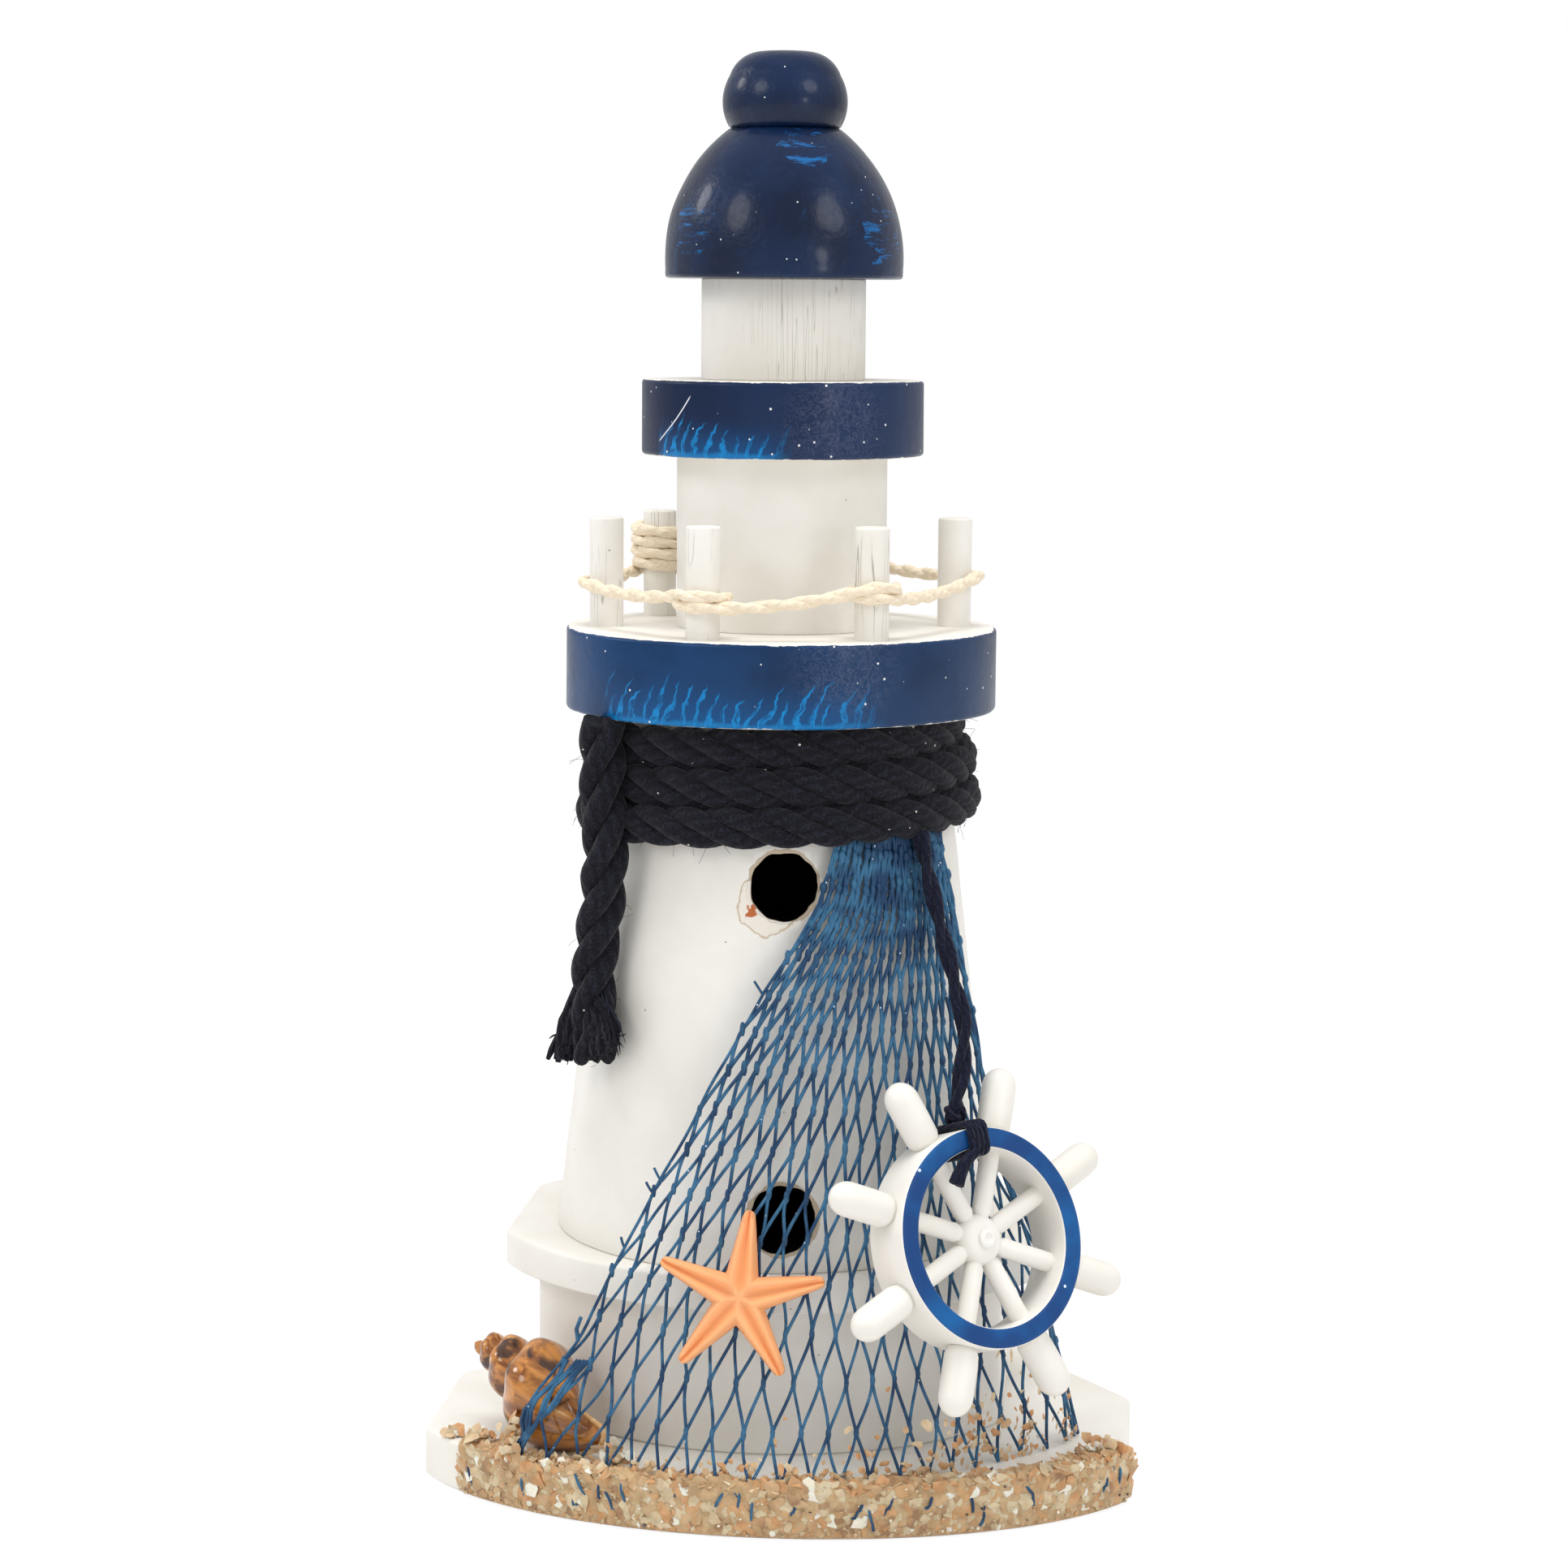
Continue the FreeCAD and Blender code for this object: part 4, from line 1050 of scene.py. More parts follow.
def rope_end(look, hair):
    """The rope's loose end: three strands that open into a bell of frayed yarn."""
    dice = random.Random(8)
    shape, tuft = Shape(), Shape()
    route = spline_points(tail_route)
    line = resampled(route, 0.7)
    count = len(line)
    framed = frames(line)
    for strand in range(3):
        run, sizes = [], []
        for k, (point, across, up) in enumerate(framed):
            loose = smooth_step(count - 22, count, k)
            angle = 0.6 + TURN * (strand / 3 + 0.7 * k / tail_lay)
            run.append(point + circled(across, up, angle, tail_strand_offset + 0.6 * loose))
            swell = 1 + 0.12 * waver(k * 0.14, strand * 5, 1)
            sizes.append(tail_strand_radius * swell * (1 - 0.3 * loose))
        shape.tube(run, sizes, 12)
        add_hairs(tuft, run, tail_strand_radius, 46, 2.0, dice)
    tail = shape.piece("rope_end", "navy_rope", [look, hair], ["rope_tail"], 80)
    out = Vector((line[-1].x, line[-1].y, 0)).normalized()
    sideways = UP.cross(out)
    for number in range(fray_threads):
        thick = number < fray_thick_threads
        aside = dice.uniform(-1, 1)
        begin = line[-1 - dice.randrange(2, 22)] + sideways * aside * 2.4
        begin += out * dice.uniform(-1.2, 2.2)
        reach = dice.uniform(4.2, 7.6) if thick else dice.uniform(4.0, 9.0)
        outward = dice.uniform(-0.6, 2.6) + abs(aside) * (3.2 if aside < 0 else -0.6)
        low = dice.uniform(-0.8, 3.6) + (2.4 * aside if aside > 0 else 0.9 * aside)
        end = line[-1] + sideways * aside * reach + out * outward + UP * low
        middle = begin.lerp(end, 0.45) + sideways * aside * 2.6 + UP * dice.uniform(0.4, 2.2)
        size = dice.uniform(0.75, 1.25) if thick else dice.uniform(0.06, 0.24)
        sizes = [size * (0.85 + 0.15 * sin(k * 2 + number)) for k in range(7)]
        tuft.tube(bent(begin, middle, end, levels(0, 1, 7)), sizes + [size * 0.45],
                  8 if thick else 4, 0 if thick else dice.choice((0, 1)))
    fray = tuft.piece("rope_fray", "navy_rope", [look, hair], (), 80)
    distances(route)[-1] * MM


def railing_path():
    """The cord's course: round every post in turn, sagging in between."""
    posts = [polar(post_circle_radius, azimuth, height)
             for azimuth, height in zip(post_azimuths, railing_heights)]
    reach = post_radius + railing_radius + 0.12
    order = [4, 5, 0, 1, 2, 3]

    def beside(a, b):
        """Direction to the right of the way from one post to another."""
        return Vector((b.x - a.x, b.y - a.y, 0)).normalized().cross(UP)

    points = []
    for place, index in enumerate(order):
        here, onward = posts[index], posts[order[(place + 1) % 6]]
        first, last = beside(posts[order[place - 1]], here), beside(here, onward)
        start = atan2(first.y, first.x)
        turns = railing_turns[index]
        total = (atan2(last.y, last.x) - start) % TURN + TURN * turns
        climb = 2.1 * turns
        for share in levels(0, 1, max(4, int(total / 0.3))):
            angle = start + total * share
            swell = 0.35 * sin(share * pi * 5 + index) if turns > 1 else 0
            around = heading(angle) * (reach + max(swell, 0))
            level = climb * ((0.5 if place else 1) - share)
            points.append(here + around + UP * level)
        if place < 5:
            start = points[-1]
            end = onward + last * reach + UP * 2.1 * railing_turns[order[place + 1]] * 0.5
            sag = 1.1 if index in (5, 0, 1) else 0.5
            for t in levels(0, 1, 9)[1:-1]:
                points.append(start.lerp(end, t) - UP * (sag * 4 * t * (1 - t)))
    start = points[-1]
    end = posts[4] + (posts[4] - posts[3]).normalized().cross(UP) * reach
    return points + [start.lerp(end, t) for t in levels(0, 1, 9)[1:]]


def railing_cord(look, hair):
    dice = random.Random(11)
    shape = Shape()
    line = resampled(railing_path(), 0.5)
    for strand in strands(line, railing_radius - railing_strand_radius, 2, 13.0):
        sizes = [railing_strand_radius * (1 + 0.16 * noise.noise(p * 0.7)) for p in strand]
        shape.tube(strand, sizes, 10)
        add_hairs(shape, strand, 0.5, 60, 1.3, dice, 0.025)
    shape.piece("railing_rope", "cream_cord", [look, hair], ["railing_cord"], 80)


def hanger(look, hair):
    """Doubled cord from under the rope to the knot on the wheel."""
    dice = random.Random(13)
    shape = Shape()
    route = spline_points(hanger_route)
    line = resampled(route + [Vector(hanger_knot)], 0.6)
    for strand in strands(line, 0.7, 2, 21.0, 0.4):
        shape.tube(strand, 0.9, 10)
        add_hairs(shape, strand, 0.6, 26, 1.2, dice, 0.025)
    cord = shape.piece("wheel_hanger_cord", "navy_rope", [look, hair], ["wheel_cord"], 80,
                       "wheel_hanger")
    distances(route)[-1] * MM


# Net
def cone_radius(height):
    share = (height - net_foot) / (net_top - net_foot)
    return net_foot_radius + (net_top_radius - net_foot_radius) * share


def shell_push(azimuth, height):
    """How far the net stands out from its cone to pass over the seashell."""
    axis = (shell_mouth - shell_apex).normalized()
    envelope = [(-share, reach) for share, reach in shell_reaches]
    push = 0.0
    while push < 14:
        offset = polar(cone_radius(height) + push, azimuth, height) - shell_apex
        along = offset.dot(axis)
        aside = (offset - axis * along).length
        reach = table_at(envelope, -along / shell_length)
        if aside > reach + 0.9 or not -2 < along < shell_length + 2:
            break
        push += 0.35
    return push


def drape_table():
    """Push at each azimuth and level, eased upwards, downwards and sideways as a hung net is."""
    azimuths = range(drape_first, drape_last + 1, drape_step)
    heights = range(drape_low, drape_high + 1)
    table = {(a, h): shell_push(a, h) for a in azimuths for h in heights}
    for a in azimuths:
        for h in heights[1:]:
            table[a, h] = max(table[a, h], table[a, h - 1] - 0.42)
        for h in heights[-2::-1]:
            table[a, h] = max(table[a, h], table[a, h + 1] - 0.3)
    for _ in range(2):
        wide = dict(table)
        for a in azimuths[1:-1]:
            for h in heights:
                table[a, h] = max(wide[a, h], wide[a - drape_step, h] - 2.6,
                                  wide[a + drape_step, h] - 2.6)
    return table


drape = drape_table()


def drape_at(azimuth, height):
    if not drape_first < azimuth < drape_last - drape_step or height >= drape_high - 1:
        return 0.0
    a = (azimuth - drape_first) / drape_step
    h = max(height - drape_low, 0)
    a0, h0 = int(a), int(h)
    fa, fh = a - a0, h - h0
    near, far = ([drape[drape_first + drape_step * (a0 + i), min(drape_low + h0 + j, drape_high)]
                  for i in (0, 1)] for j in (0, 1))
    low, high = (pair[0] * (1 - fa) + pair[1] * fa for pair in (near, far))
    return low * (1 - fh) + high * fh


def net_radius(azimuth, height):
    """Reach of the draped net: a steep cone, pushed out over the platform and the seashell."""
    corner = smooth_step(50, 68, azimuth) * smooth_step(62, 42, height)
    return cone_radius(height) + 3.4 * corner + drape_at(azimuth, height)


def net_place(across, height, lift=0.0):
    left, right = table_at(net_left, height), table_at(net_right, height)
    azimuth = left + (right - left) * across
    return polar(net_radius(azimuth, height) + lift, azimuth, height)


def net(look):
    """Knots in rows that open out downwards, joined by strands that leave them upright."""
    dice = random.Random(21)
    shape = Shape()
    steps = levels(5.0, 8.4, net_rows - 1)
    heights = [net_top]
    for step in steps:
        heights.append(heights[-1] - step * (net_top - net_foot) / sum(steps))
    knots = {}
    for row, height in enumerate(heights):
        wild = 1.6 - 1.0 * row / net_rows
        for column in range(net_columns + (row + 1) % 2):
            across = (column + 0.5 * (row % 2)) / net_columns
            shake = 0.005 * wild if 0 < across < 1 else 0.002
            across = across + dice.uniform(-1, 1) * shake
            level = height + dice.uniform(-1, 1) * 0.5 * wild
            knots[row, column] = (across, level, dice.uniform(0.15, 0.5))
    for (row, column), (across, level, lift) in knots.items():
        if row == net_rows:
            continue
        size = net_strand_radius * (0.95 + 0.5 * (1 - row / net_rows) ** 2.5)
        upright = 0.42 - 0.26 * row / net_rows
        for offset in ((0, -1) if row % 2 == 0 else (0, 1)):
            other = knots.get((row + 1, column + offset))
            if other is None:
                continue
            curve = []
            sway = dice.uniform(-1, 1) * 0.004
            for t in levels(0, 1, 7):
                ease = t + upright * (t * t * (3 - 2 * t) - t) * 2
                place = across + (other[0] - across) * ease + sway * sin(pi * t)
                curve.append(net_place(place, level + (other[1] - level) * t,
                                       lift + (other[2] - lift) * t))
            shape.tube(curve, size, 6)
        add_knot(shape, net_place(across, level, lift), size, dice)
    add_net_edges(shape, dice)
    shape.piece("draped_net", "blue_twine", [look], ["fishing_net"], 80)


def add_knot(shape, point, size, dice):
    outward = Vector((point.x, point.y, 6)).normalized()
    wide = size * dice.uniform(1.35, 1.75)
    tall = UP * dice.uniform(0.9, 1.3)
    middle = point + outward * 0.15
    low, high = point - tall, point + tall
    shape.tube([low, low.lerp(middle, 0.45), middle, middle.lerp(high, 0.55), high],
               [wide * share for share in (0.5, 0.85, 1, 0.85, 0.5)], 8)


def add_net_edges(shape, dice):
    """Strands along both sides, the gather under the rope, loose ends and the left foot."""
    for start, sway in ((0.0, 0.7), (1.0, 0.4), (0.985, 0.6)):
        seed = dice.uniform(0, 50)
        points = []
        for k, height in enumerate(levels(net_top, net_foot, 60)):
            wave = waver(k * 0.16, seed, 0) * 0.012 * sway
            points.append(net_place(start + wave, height,
                                    0.3 + 0.4 * waver(k * 0.24, seed, 5)))
        shape.tube(points, net_strand_radius, 6)
    for _ in range(10):
        across = dice.random()
        drift = dice.uniform(-0.05, 0.05)
        fall = dice.uniform(9, 24)
        points = [net_place(across + drift * k / 7, net_top - fall * k / 7,
                            0.35 + 0.3 * sin(k * 1.3 + drift * 90)) for k in range(8)]
        shape.tube(points, net_strand_radius * 1.3, 6)
    for _ in range(4):
        start = net_place(0.0, dice.uniform(20, 105), 0.5)
        end = start + Vector((dice.uniform(-1.6, -0.4), dice.uniform(-0.8, 0),
                              dice.uniform(0.6, 2.4)))
        middle = start.lerp(end, 0.5) + UP * dice.uniform(-0.4, 0.6)
        shape.tube(bent(start, middle, end, (0, 0.3, 0.7, 1)), net_strand_radius * 0.8, 5)
    for _ in range(6):
        first = dice.uniform(0.0, 0.05)
        points = [net_place(first * (1 - k / 8) + 0.008 * sin(k + first * 90),
                            27 - 17 * k / 8, 0.4 + 0.3 * dice.random()) for k in range(9)]
        shape.tube(points, net_strand_radius * 1.2, 6)
    start = net_place(0.0, 30.0, 0.4)
    shape.tube([start, start + Vector((-0.2, -0.4, 2.2)), start + Vector((0.6, -0.5, 4.4))],
               0.4, 6)


# Ship's wheel
def wheel_matrix():
    """From the wheel's own axes, with its front face at zero, to the frame."""
    azimuth = radians(wheel_normal_azimuth)
    tilt = radians(wheel_tilt)
    normal = Vector((cos(tilt) * sin(azimuth), -cos(tilt) * cos(azimuth),
                     sin(tilt)))
    across = heading(azimuth)
    turn = Matrix((across, normal.cross(across), normal)).transposed().to_4x4()
    return Matrix.Translation(polar(wheel_reach, wheel_azimuth, wheel_height)) @ turn


def wheel(white_wood, ring_paint):
    place = wheel_matrix()
    inner, outer = rim_inner_radius, rim_outer_radius
    outline = rounded([(inner, -5), (inner, 0), (outer, 0), (outer, -rim_depth),
                       (inner, -rim_depth), (inner, -5)], 0.7, 4)

    def paint(row):
        radius, height = (Vector(outline[row]) + Vector(outline[row + 1])) / 2
        return 1 if height > -0.12 and inner < radius < outer else 0

    shape = Shape()
    shape.skin([[polar(radius, 360.0 * k / 144, height) for k in range(144)]
                for radius, height in outline], paint, False)
    shape.place(place)
    shape.piece("wheel_ring", "blue_painted_wood", [white_wood, ring_paint], ["wheel_rim"], 50,
                "wheel")

    top = -hub_setback
    hub = rounded([(0.3, top - hub_length), (hub_radius * 0.8, top - hub_length),
                   (hub_radius, top - hub_length * 0.5), (hub_radius * 0.8, top - 0.6),
                   (0.3, top)], 2.2, 6)
    turned("wheel_boss", "wheel_hub", "white_turned_wood", [white_wood], hub, 64, 0.0, 60,
           "wheel", place)
    cap = rounded([(0.2, top - 0.6), (1.7, top - 0.6), (1.75, top + 0.5), (0.9, top + 0.75),
                   (0.6, top + 0.35), (0.15, top + 0.3)], 0.3, 4)
    turned("wheel_pin", "hub_pin", "pin_paint", [white_wood], cap, 32, 0.0, 60, "wheel", place)

    peg = [(spoke_radius * 0.55, hub_radius * 0.7), (spoke_radius * 0.98, hub_radius + 0.4),
           (spoke_radius, outer - 1.5), (spoke_radius, outer - 0.2),
           (handle_radius * 0.82, outer - 0.05), (handle_radius * 0.98, outer + 1.2),
           (handle_radius, outer + 4)]
    brow = 3.4
    for turn in levels(0, pi / 2, 8):
        peg.append((max(handle_radius * cos(turn), 0.1),
                    peg_tip_radius - brow + brow * sin(turn)))
    for index in range(peg_count):
        angle = radians(peg_first_angle + 360.0 * index / peg_count)
        out = heading(angle)
        turn = UP.rotation_difference(out).to_matrix().to_4x4()
        turned("wheel_handle_%d" % (index + 1), "wheel_peg_%d" % (index + 1),
               "white_turned_wood", [white_wood], peg, 36, 0.1, 60, "wheel",
               place @ Matrix.Translation(UP * -peg_setback) @ turn)


def wheel_tie(look, hair):
    """Cord that goes four times round the rim, the knot on top of it and a cut end."""
    angle = radians(loop_angle)
    out = heading(angle)
    aside = Vector((-sin(angle), cos(angle), 0))
    offset = 0.75
    inner, outer = rim_inner_radius - offset, rim_outer_radius + offset
    corners = [(outer, -5), (outer, offset), (inner, offset), (inner, -rim_depth - offset),
               (outer, -rim_depth - offset), (outer, -5)]
    shape = Shape()
    for number, shift in enumerate((-1.5, -0.5, 0.5, 1.5)):
        loop = [out * radius + UP * height + aside * shift
                for radius, height in rounded(corners, 1.3, 5)]
        loop = [p + aside * (sin(p.z * 0.5 + number) * 0.16) for p in resampled(loop, 0.6)]
        shape.tube(loop, 0.66, 8)
    base = out * knot_reach - UP * (rim_depth / 2)
    knot = [base + out * (-0.35 + 0.95 * sin(3 * t))
            + aside * (sin(t) + 2 * sin(2 * t)) * 0.5
            + UP * (cos(t) - 2 * cos(2 * t)) * 0.5 for t in levels(0, TURN, 79)]
    shape.tube(knot, 0.72, 9)
    for shift, reach in ((0.0, 5.6), (0.7, 5.0)):
        start = out * (rim_inner_radius - 0.6) + UP * 0.5 + aside * 1.2 + UP * shift
        middle = start + aside * 3.0 - out * 1.2
        end = start + aside * reach - out * (4.6 + shift)
        shape.tube(bent(start, middle, end, levels(0, 1, 8)), 0.85, 9)
    shape.place(wheel_matrix())
    shape.piece("wheel_tie", "navy_rope", [look, hair], ["wheel_loop"], 80, "wheel")


# Trims
def arm_half_width(along):
    """Half the width of a starfish's arm at a share of its length."""
    if along > arm_round:
        return arm_tip * sqrt(max(1 - ((along - arm_round) / (1 - arm_round)) ** 2, 0))
    return arm_root + (arm_tip - arm_root) * along / arm_round


def star_reach(angle):
    """Reach of the star's edge in a direction."""
    best = 0.0
    for arm in range(star_arms):
        turn = angle - radians(star_first_angle + 72 * arm)
        turn = (turn + pi) % TURN - pi
        if abs(turn) > radians(60):
            continue
        low, high = 0.0, star_radius
        for _ in range(18):
            middle = (low + high) / 2
            along, aside = middle * cos(turn), abs(middle * sin(turn))
            if aside <= arm_half_width(along / star_radius):
                low = middle
            else:
                high = middle
        best = max(best, low)
    return best


def star_relief(x, y):
    """Height with raised edges, a groove down each arm and a low crown; and the groove's share."""
    best = None
    for arm in range(star_arms):
        turn = radians(star_first_angle + 72 * arm)
        along = x * cos(turn) + y * sin(turn)
        aside = abs(-x * sin(turn) + y * cos(turn))
        if along < 0:
            continue
        width = max(arm_half_width(min(along / star_radius, 1)), 0.05)
        share = min(aside / width, 1)
        if best is None or share < best[0]:
            best = (share, along / star_radius)
    share, along = best or (0, 0)
    tall = 3.4 - 1.5 * along
    ridge = exp(-((share - 0.6) / 0.24) ** 2)
    groove = exp(-(share / 0.2) ** 2) * smooth_step(0.02, 0.14, along)
    edge = sqrt(max(1 - share ** 4, 0))
    return tall * edge * (0.74 + 0.26 * ridge) - 0.55 * groove, groove


def starfish(look):
    spokes, steps = 200, 14
    slope = (net_foot_radius - net_top_radius) / (net_top - net_foot)
    azimuth = radians(star_azimuth)
    normal = Vector((sin(azimuth), -cos(azimuth), slope)).normalized()
    across = heading(azimuth)
    upward = normal.cross(across)
    seat = polar(net_radius(star_azimuth, star_height) + 0.9, star_azimuth, star_height)
    shape = Shape()
    grooves = []
    foot_points = []
    for k in range(spokes):
        angle = TURN * k / spokes
        reach = star_reach(angle)
        for j in range(1, steps + 1):
            radius = reach * sin(pi / 2 * j / steps)
            rise, groove = star_relief(radius * cos(angle), radius * sin(angle))
            if j == steps:
                rise = 0.6
            shape.points.append(seat + circled(across, upward, angle, radius) + normal * rise)
            grooves.append(groove)
        foot_points.append(seat + circled(across, upward, angle, reach * 0.93))
    shape.points.append(seat + normal * star_relief(0.01, 0.01)[0])
    foot = len(shape.points)
    shape.points += foot_points
    grooves += [0] * (spokes + 1)
    for k in range(spokes):
        j = (k + 1) % spokes
        shape.face((foot - 1, k * steps, j * steps))
        for s in range(steps - 1):
            shape.face((k * steps + s, k * steps + s + 1, j * steps + s + 1, j * steps + s))
        shape.face((k * steps + steps - 1, foot + k, foot + j, j * steps + steps - 1))
    shape.face(tuple(range(foot, foot + spokes))[::-1])
    star = shape.piece("star", "orange_resin", [look], ["starfish"], 70)
    # The groove share also darkens the colour down each arm, as painted shade
    attribute = star.data.attributes.new("groove", "FLOAT", "POINT")
    attribute.data.foreach_set("value", grooves)


def seashell(look, lip_look):
    """Conch: one growing tube wound on a cone, with folds across it and its mouth downwards."""
    axis = (shell_mouth - shell_apex).normalized()
    across = axis.cross(UP).normalized()
    side = axis.cross(across)
    rows, count, ribs_in_turn = 300, 44, 6
    rings, lengths = [], levels(0, shell_turns, rows)
    for turn in lengths:
        grown = shell_growth ** (turn - shell_turns)
        angle = TURN * (turn - shell_turns)
        spoke = circled(across, side, angle + radians(shell_end_angle))
        ribs = sin(angle * ribs_in_turn)
        ring = []
        for k in range(count):
            around = TURN * k / count
            reach = copysign(abs(cos(around)) ** 0.7, cos(around))
            along = sin(around)
            reach *= 6.6 * grown * (1 + 0.035 * ribs + 0.06 * ribs * max(-along, 0))
            if along > 0:
                lobe = along ** 1.6
                reach = reach * (1 - 0.4 * lobe) - 1.5 * grown * lobe
                along *= 7.6 + 4.4 * along
            else:
                along *= 6.8
            ring.append(shell_apex + axis * (27.0 * grown - 5.4 + along * grown)
                        + spoke * max(3.6 * grown + reach, 0.05 * grown))
        rings.append(ring)
    shape = Shape()
    shape.skin(rings, 0, True, lengths)
    centre = sum(rings[-1], Vector()) / count
    lip = [p + (p - centre) * 0.02 for p in rings[-1]]
    shape.tube(lip + [lip[0]], 0.5, 8, 1)
    shape.piece("conch", "shell", [look, lip_look], ["seashell"], 70)


def bow_point(angle, growth, height):
    return Vector((bow_centre_x + (bow_half_width + growth) * cos(angle),
                   bow_centre_y + (bow_depth + growth) * sin(angle), height))


def sand_angle(share):
    return radians(sand_first_angle + (sand_last_angle - sand_first_angle) * share)


def add_crust(shape):
    """Ragged layer of glue and fine grit under the flakes, on the board's front and top."""
    columns = 340
    start = len(shape.points)
    for share in levels(0, 1, columns):
        inward = 3.6 + 3.4 * waver(share * 26, 1.5, 0)
        inward += 1.2 * waver(share * 90, 7.5, 0)
        ends = smooth_step(0, 0.012, share) * smooth_step(1, 0.988, share)
        rows = [(0.02, 0.2), (0.45, 0.5), (0.6, 2.4), (0.6, 4.6), (0.6, 6.8),
                (0.45, base_top + 0.15), (-0.2, base_top + 0.6), (-inward * 0.4, base_top + 0.65),
                (-inward * 0.75, base_top + 0.45), (-inward, base_top + 0.03)]
        for j, (growth, height) in enumerate(rows):
            rough = waver(share * 160, height * 0.7, growth) * 0.35 * ends
            if j in (0, len(rows) - 1):
                rough = 0
            if growth > 0:
                growth = growth * ends + rough
            elif growth < -0.1:
                height += rough
            shape.points.append(bow_point(sand_angle(share), growth, height))
    width = len(rows)
    for k in range(columns):
        for low in range(start + k * width, start + (k + 1) * width - 1):
            shape.face((low, low + width, low + width + 1, low + 1))


def add_flake(shape, centre, normal, size, dice, look):
    """Thin broken flake, a little domed."""
    across = normal.cross(tossed(dice)).normalized()
    up = normal.cross(across)
    corners = dice.choice((5, 6, 7))
    long = dice.uniform(1.0, 1.7)
    start = len(shape.points)
    for k in range(corners):
        angle = TURN * (k + dice.uniform(-0.25, 0.25)) / corners
        reach = size * dice.uniform(0.65, 1.1)
        shape.points.append(centre + circled(across * long, up, angle, reach))
    shape.points.append(centre + normal * size * 0.34)
    shape.points.append(centre - normal * size * 0.2)
    for k in range(corners):
        j = (k + 1) % corners
        shape.face((start + k, start + j, start + corners), look)
        shape.face((start + j, start + k, start + corners + 1), look)


def crushed_shell(looks, twine):
    """Flakes and grit over the base's bowed front, more of it at the ends and on the net."""
    dice = random.Random(41)
    shape = Shape()
    add_crust(shape)
    kinds = (0,) * 10 + (1,) * 6 + (2,) + (3,) * 5 + (4,) * 2
    sizes = (0.6, 0.8, 1.0, 1.3, 1.6, 1.9)

    def outward(angle):
        return Vector((cos(angle) / bow_half_width, sin(angle) / bow_depth,
                       0)).normalized()

    def shaken(normal, amount):
        return (normal + tossed(dice) * amount).normalized()

    for _ in range(flake_count):
        share = dice.random()
        angle = sand_angle(share)
        size = dice.choice(sizes)
        patch = waver(share * 26, 1.5, 0)
        if dice.random() < 0.62:
            height = dice.uniform(0.6, base_top + 0.3)
            size = min(size, (height - 0.1) / 1.9)
            point = bow_point(angle, dice.uniform(0.35, 0.75), height)
            normal = shaken(outward(angle), 0.24)
        else:
            inward = abs(dice.gauss(0, 1)) * (2.2 + 2.0 * patch)
            if inward > 7.5:
                continue
            point = bow_point(angle, 0.4 - inward,
                              base_top + dice.uniform(0.2, 1.1) * (1 - inward / 9))
            normal = shaken((UP + outward(angle) * 0.6).normalized(), 0.5)
            size *= 0.75
        add_flake(shape, point, normal, size, dice, dice.choice(kinds))
    for _ in range(grit_count):
        angle = radians(dice.uniform(sand_first_angle, sand_last_angle))
        size = dice.choice((0.22, 0.28, 0.34, 0.42))
        if dice.random() < 0.55:
            point = bow_point(angle, 1.0, dice.uniform(1, base_top))
        else:
            point = bow_point(angle, -abs(dice.gauss(0, 3)), base_top + 0.8)
        shape.grain(point, size, dice, dice.choice((2, 1, 1, 5, 0, 3)))
    for centre, spread, count in sand_clumps:
        for _ in range(count):
            point = Vector([c + dice.gauss(0, 0.55) * s for c, s in zip(centre, spread)])
            point.z = max(point.z, base_top + 0.3)
            add_flake(shape, point, shaken(Vector((0, -1, 0.4)).normalized(), 0.8),
                      dice.uniform(0.6, 1.3), dice, dice.choice((1, 1, 2, 0, 3)))
    # Bits that climb the net, most of them at the right
    for _ in range(net_flake_count):
        across = dice.random() ** 0.6
        height = net_foot + dice.expovariate(1) * (1.6 + 6.5 * across ** 3)
        if height > 32:
            continue
        point = net_place(across, height, dice.uniform(0.2, 0.7))
        normal = shaken(Vector((point.x, point.y, 0)).normalized(), 0.5)
        add_flake(shape, point, normal, dice.uniform(0.35, 0.95), dice, dice.choice((0, 1, 3)))
    shape.piece("crushed_shell", "crushed_shell", looks, ["sand_strip"], 30)
    threads = Shape()
    for _ in range(twine_bit_count):
        angle = radians(dice.uniform(sand_first_angle + 1, sand_last_angle - 2))
        high = dice.uniform(5, base_top + 1.5)
        lean = radians(dice.uniform(-2, 2))
        inset = 1.6 if high > base_top else 0
        points = [bow_point(angle + lean * t, 0.75 + 0.5 * sin(pi * t) - inset * (1 - t),
                            high - dice.uniform(2, 4) * t) for t in levels(0, 1, 4)]
        threads.tube(points, 0.26, 6)
    threads.piece("loose_twine", "blue_twine", [twine], (), 80)


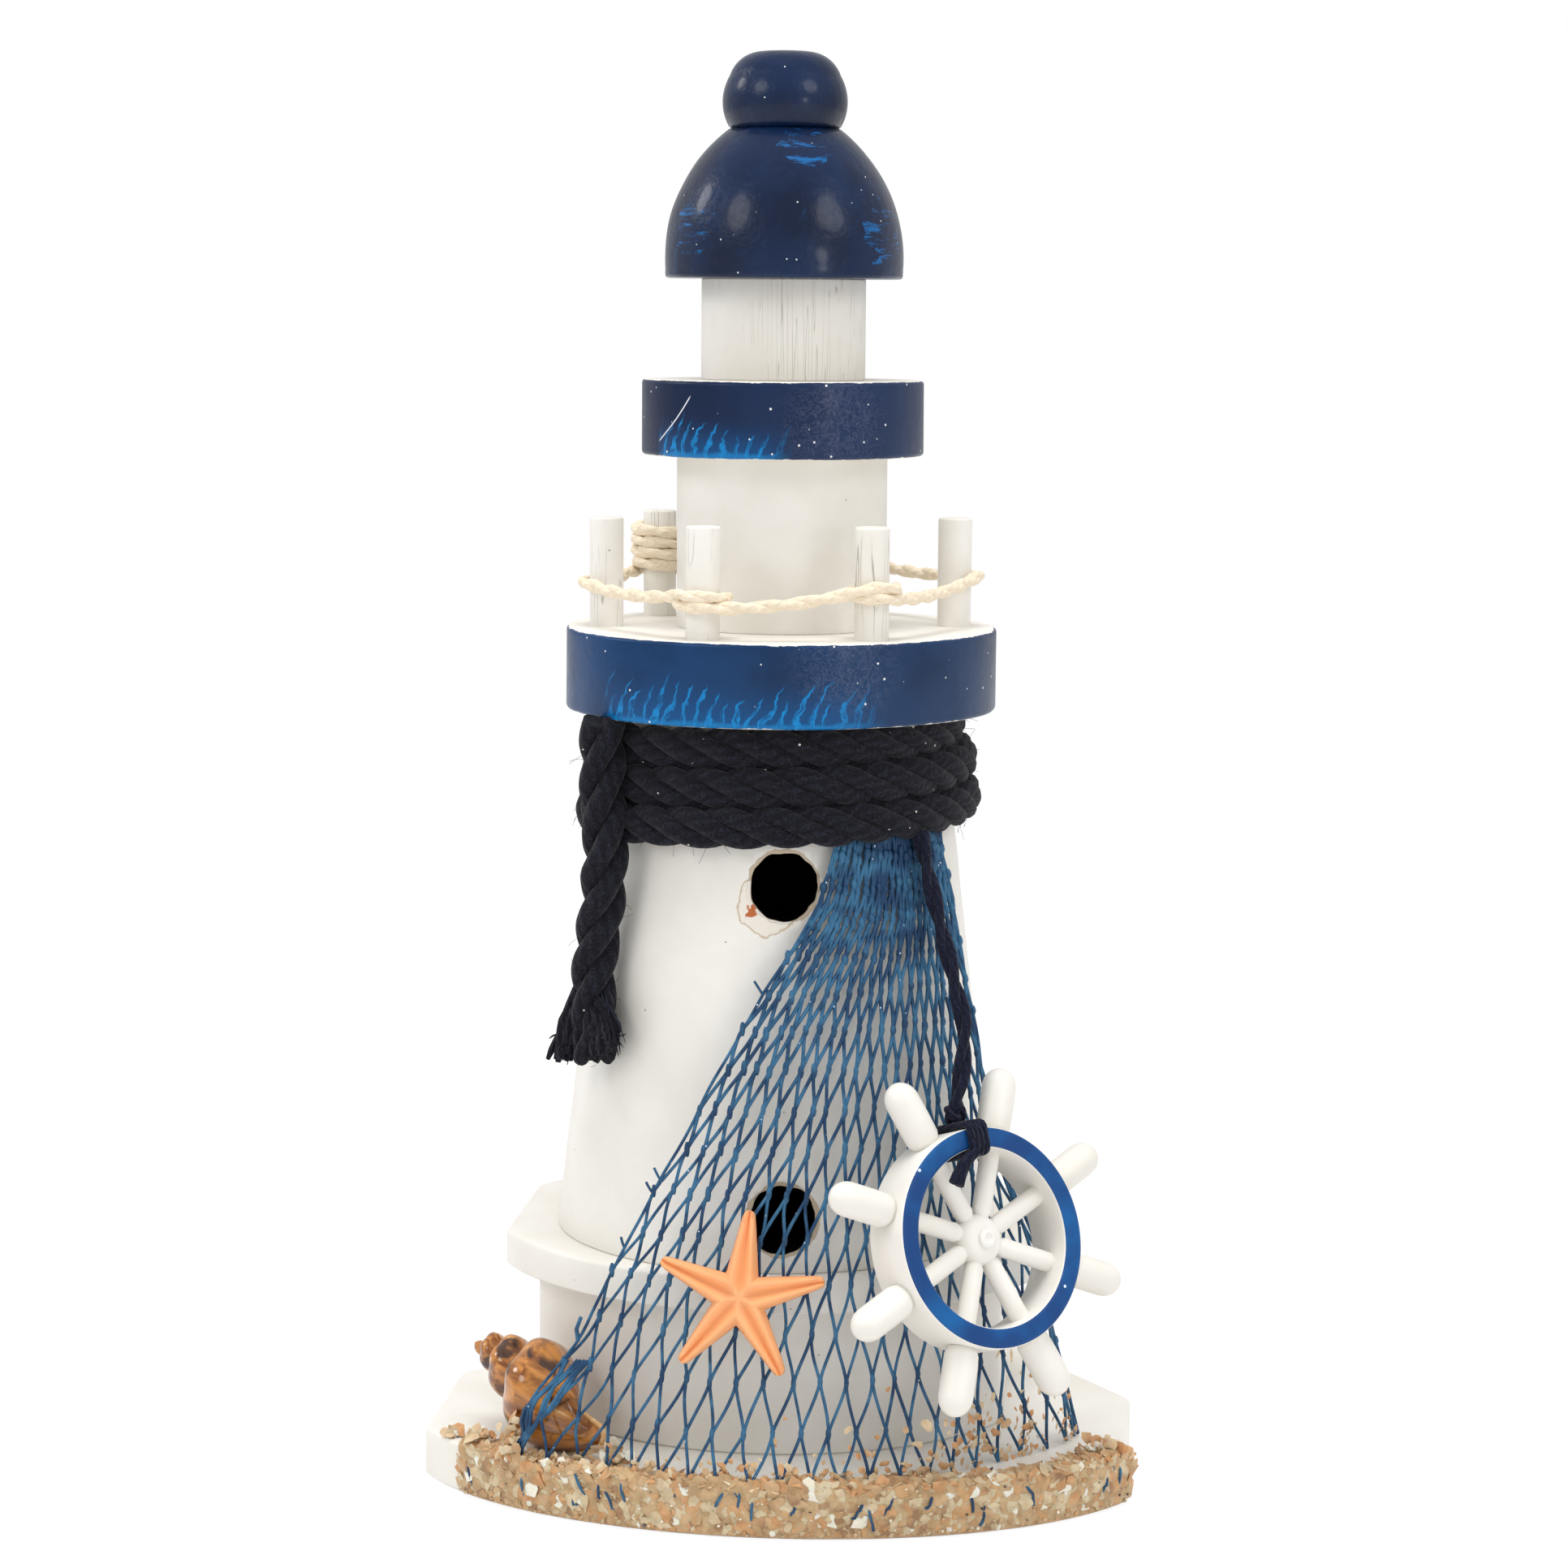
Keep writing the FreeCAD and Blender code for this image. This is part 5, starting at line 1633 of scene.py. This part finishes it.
# Stage
def stage():
    look = Look("floor")
    look.shader.inputs["Roughness"].default_value = 0.6
    look.shader.inputs["Base Color"].default_value = (0.9, 0.9, 0.9, 1)
    glow = look.add("Emission", {"Color": (1, 1, 1, 1), "Strength": 1.1})
    rays = look.add("LightPath").socket.node.outputs
    seen, glossy, through = (Wire(look, rays["Is %s Ray" % kind])
                             for kind in ("Camera", "Glossy", "Transmission"))
    seen = look.math("MAXIMUM", look.math("MAXIMUM", seen, glossy), through)
    plain = Wire(look, look.shader.outputs[0])
    surface = look.tree.nodes["Material Output"].inputs["Surface"]
    look.plug(surface, look.add("MixShader", (seen * 0.8, plain, glow)))
    reach = 1.6
    mesh = bpy.data.meshes.new("floor")
    mesh.from_pydata([(-reach, -reach, 0), (reach, -reach, 0), (reach, reach, 0),
                      (-reach, reach, 0)], [], [(0, 1, 2, 3)])
    mesh.materials.append(look.material)
    add_object("floor", mesh)

    world = bpy.data.worlds.new("studio")
    bpy.context.scene.world = world
    world.use_nodes = True
    tree = world.node_tree
    background = tree.nodes["Background"]
    ray = tree.nodes.new("ShaderNodeLightPath")
    level = tree.nodes.new("ShaderNodeMapRange")
    level.inputs["To Min"].default_value = sky_light
    level.inputs["To Max"].default_value = 1.0
    tree.links.new(ray.outputs["Is Camera Ray"], level.inputs["Value"])
    tree.links.new(level.outputs[0], background.inputs["Strength"])
    background.inputs["Color"].default_value = (1, 1, 1, 1)


def lights():
    """Round soft lamps that look at the middle of the figurine."""
    for name, place, size, power, mirrored in lamps:
        data = bpy.data.lights.new(name, "AREA")
        data.shape = "DISK"
        data.size = size
        data.energy = power
        light = add_object(name, data)
        light.location = place
        direction = Vector(lamp_target) - Vector(place)
        light.rotation_euler = direction.to_track_quat("-Z", "Y").to_euler()
        light.visible_glossy = mirrored


def dress():
    """Makes every piece with its look, the cords first."""
    white_wood = white_look("white_paint", 0.4)
    board_paint = white_look("board_paint", 0.3)
    turned_paint = white_look("turned_paint", 0.25, 0.0, 0.38)
    post_paint = white_look("post_paint", 0.4, 0.55, 0.42, True)
    cracked = white_look("lantern_paint", 0.4, 0.45)
    # Each rope look's two colours serve as its painted groove shade and painted crest highlight
    dark_rope = rope_look("navy_rope", (9, 9, 16), (42, 43, 57), specks=True)
    dark_hair = rope_look("navy_fibre", (24, 25, 40), (70, 74, 98))
    cord_dark = rope_look("hanger_cord", (11, 13, 28), (34, 40, 68))
    cream = rope_look("cream_cord", (236, 219, 192), (250, 240, 222), 3.0, 2.4, 0.15)
    cream_hair = rope_look("cream_fibre", (230, 218, 192), (250, 242, 224))
    rope_end(dark_rope, dark_hair)
    hanger(cord_dark, dark_hair)
    railing_cord(cream, cream_hair)
    wound_rope(dark_rope, dark_hair)
    for name, node in (("base", "base_board"), ("block", "base_block"),
                       ("platform", "platform_board")):
        board(node, name, board_paint)
    tower([tower_look(), black_look()])
    # In each gallery look the first pair of colours runs from navy on the left to a painted sheen
    # on the right
    radius, high = lower_gallery_radius, lower_gallery_top
    gallery("lower_gallery", "lower_deck", radius,
            gallery_look("lower_deck_paint", tower_top, radius, (-44, 24), 9.5,
                         ((4, 58, 106), (30, 56, 92)), polar(radius, 23, high - 4)))
    radius, high = upper_gallery_radius, upper_gallery_top
    gallery("upper_gallery", "upper_deck", radius,
            gallery_look("upper_deck_paint", watch_top, radius, (-52, 0), 8.0,
                         ((8, 32, 68), (32, 50, 84)), polar(radius, 28, high - 7),
                         ((-33, 11.0), (-54, 2.6))))
    room("watch_room", "watch_room_wall", watch_radius, white_wood)
    room("lantern_room", "lantern_wall", lantern_radius, cracked)
    dome_paint = dome_look()
    dome(dome_paint)
    knob(dome_paint)
    for number, azimuth in enumerate(post_azimuths, 1):
        post(number, azimuth, post_paint)
    twine = net_look()
    net(twine)
    wheel(turned_paint, ring_look())
    wheel_tie(cord_dark, dark_hair)
    starfish(star_look())
    seashell(shell_look(), grain_look("shell_lip", (214, 160, 96), (240, 206, 158), 0.25))
    crushed_shell([grain_look("flake_" + name, low, high) for name, low, high in (
        ("tan", (186, 148, 106), (208, 172, 130)),
        ("cream", (206, 178, 140), (224, 200, 166)),
        ("pale", (240, 228, 206), (248, 240, 226)),
        ("orange", (194, 142, 94), (216, 166, 118)),
        ("brown", (158, 118, 84), (196, 154, 112)),
        ("dark", (48, 46, 50), (92, 86, 84)),
    )], twine)
    bare, steel = wood_look(), steel_look()
    for node, look in (("lower_dowel", bare), ("gallery_dowel", bare), ("upper_dowel", bare),
                       ("base_screws", steel)):
        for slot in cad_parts[node].material_slots:
            slot.material = look


add_camera()
bpy.context.scene.view_settings.view_transform = "Standard"
dress()
stage()
lights()
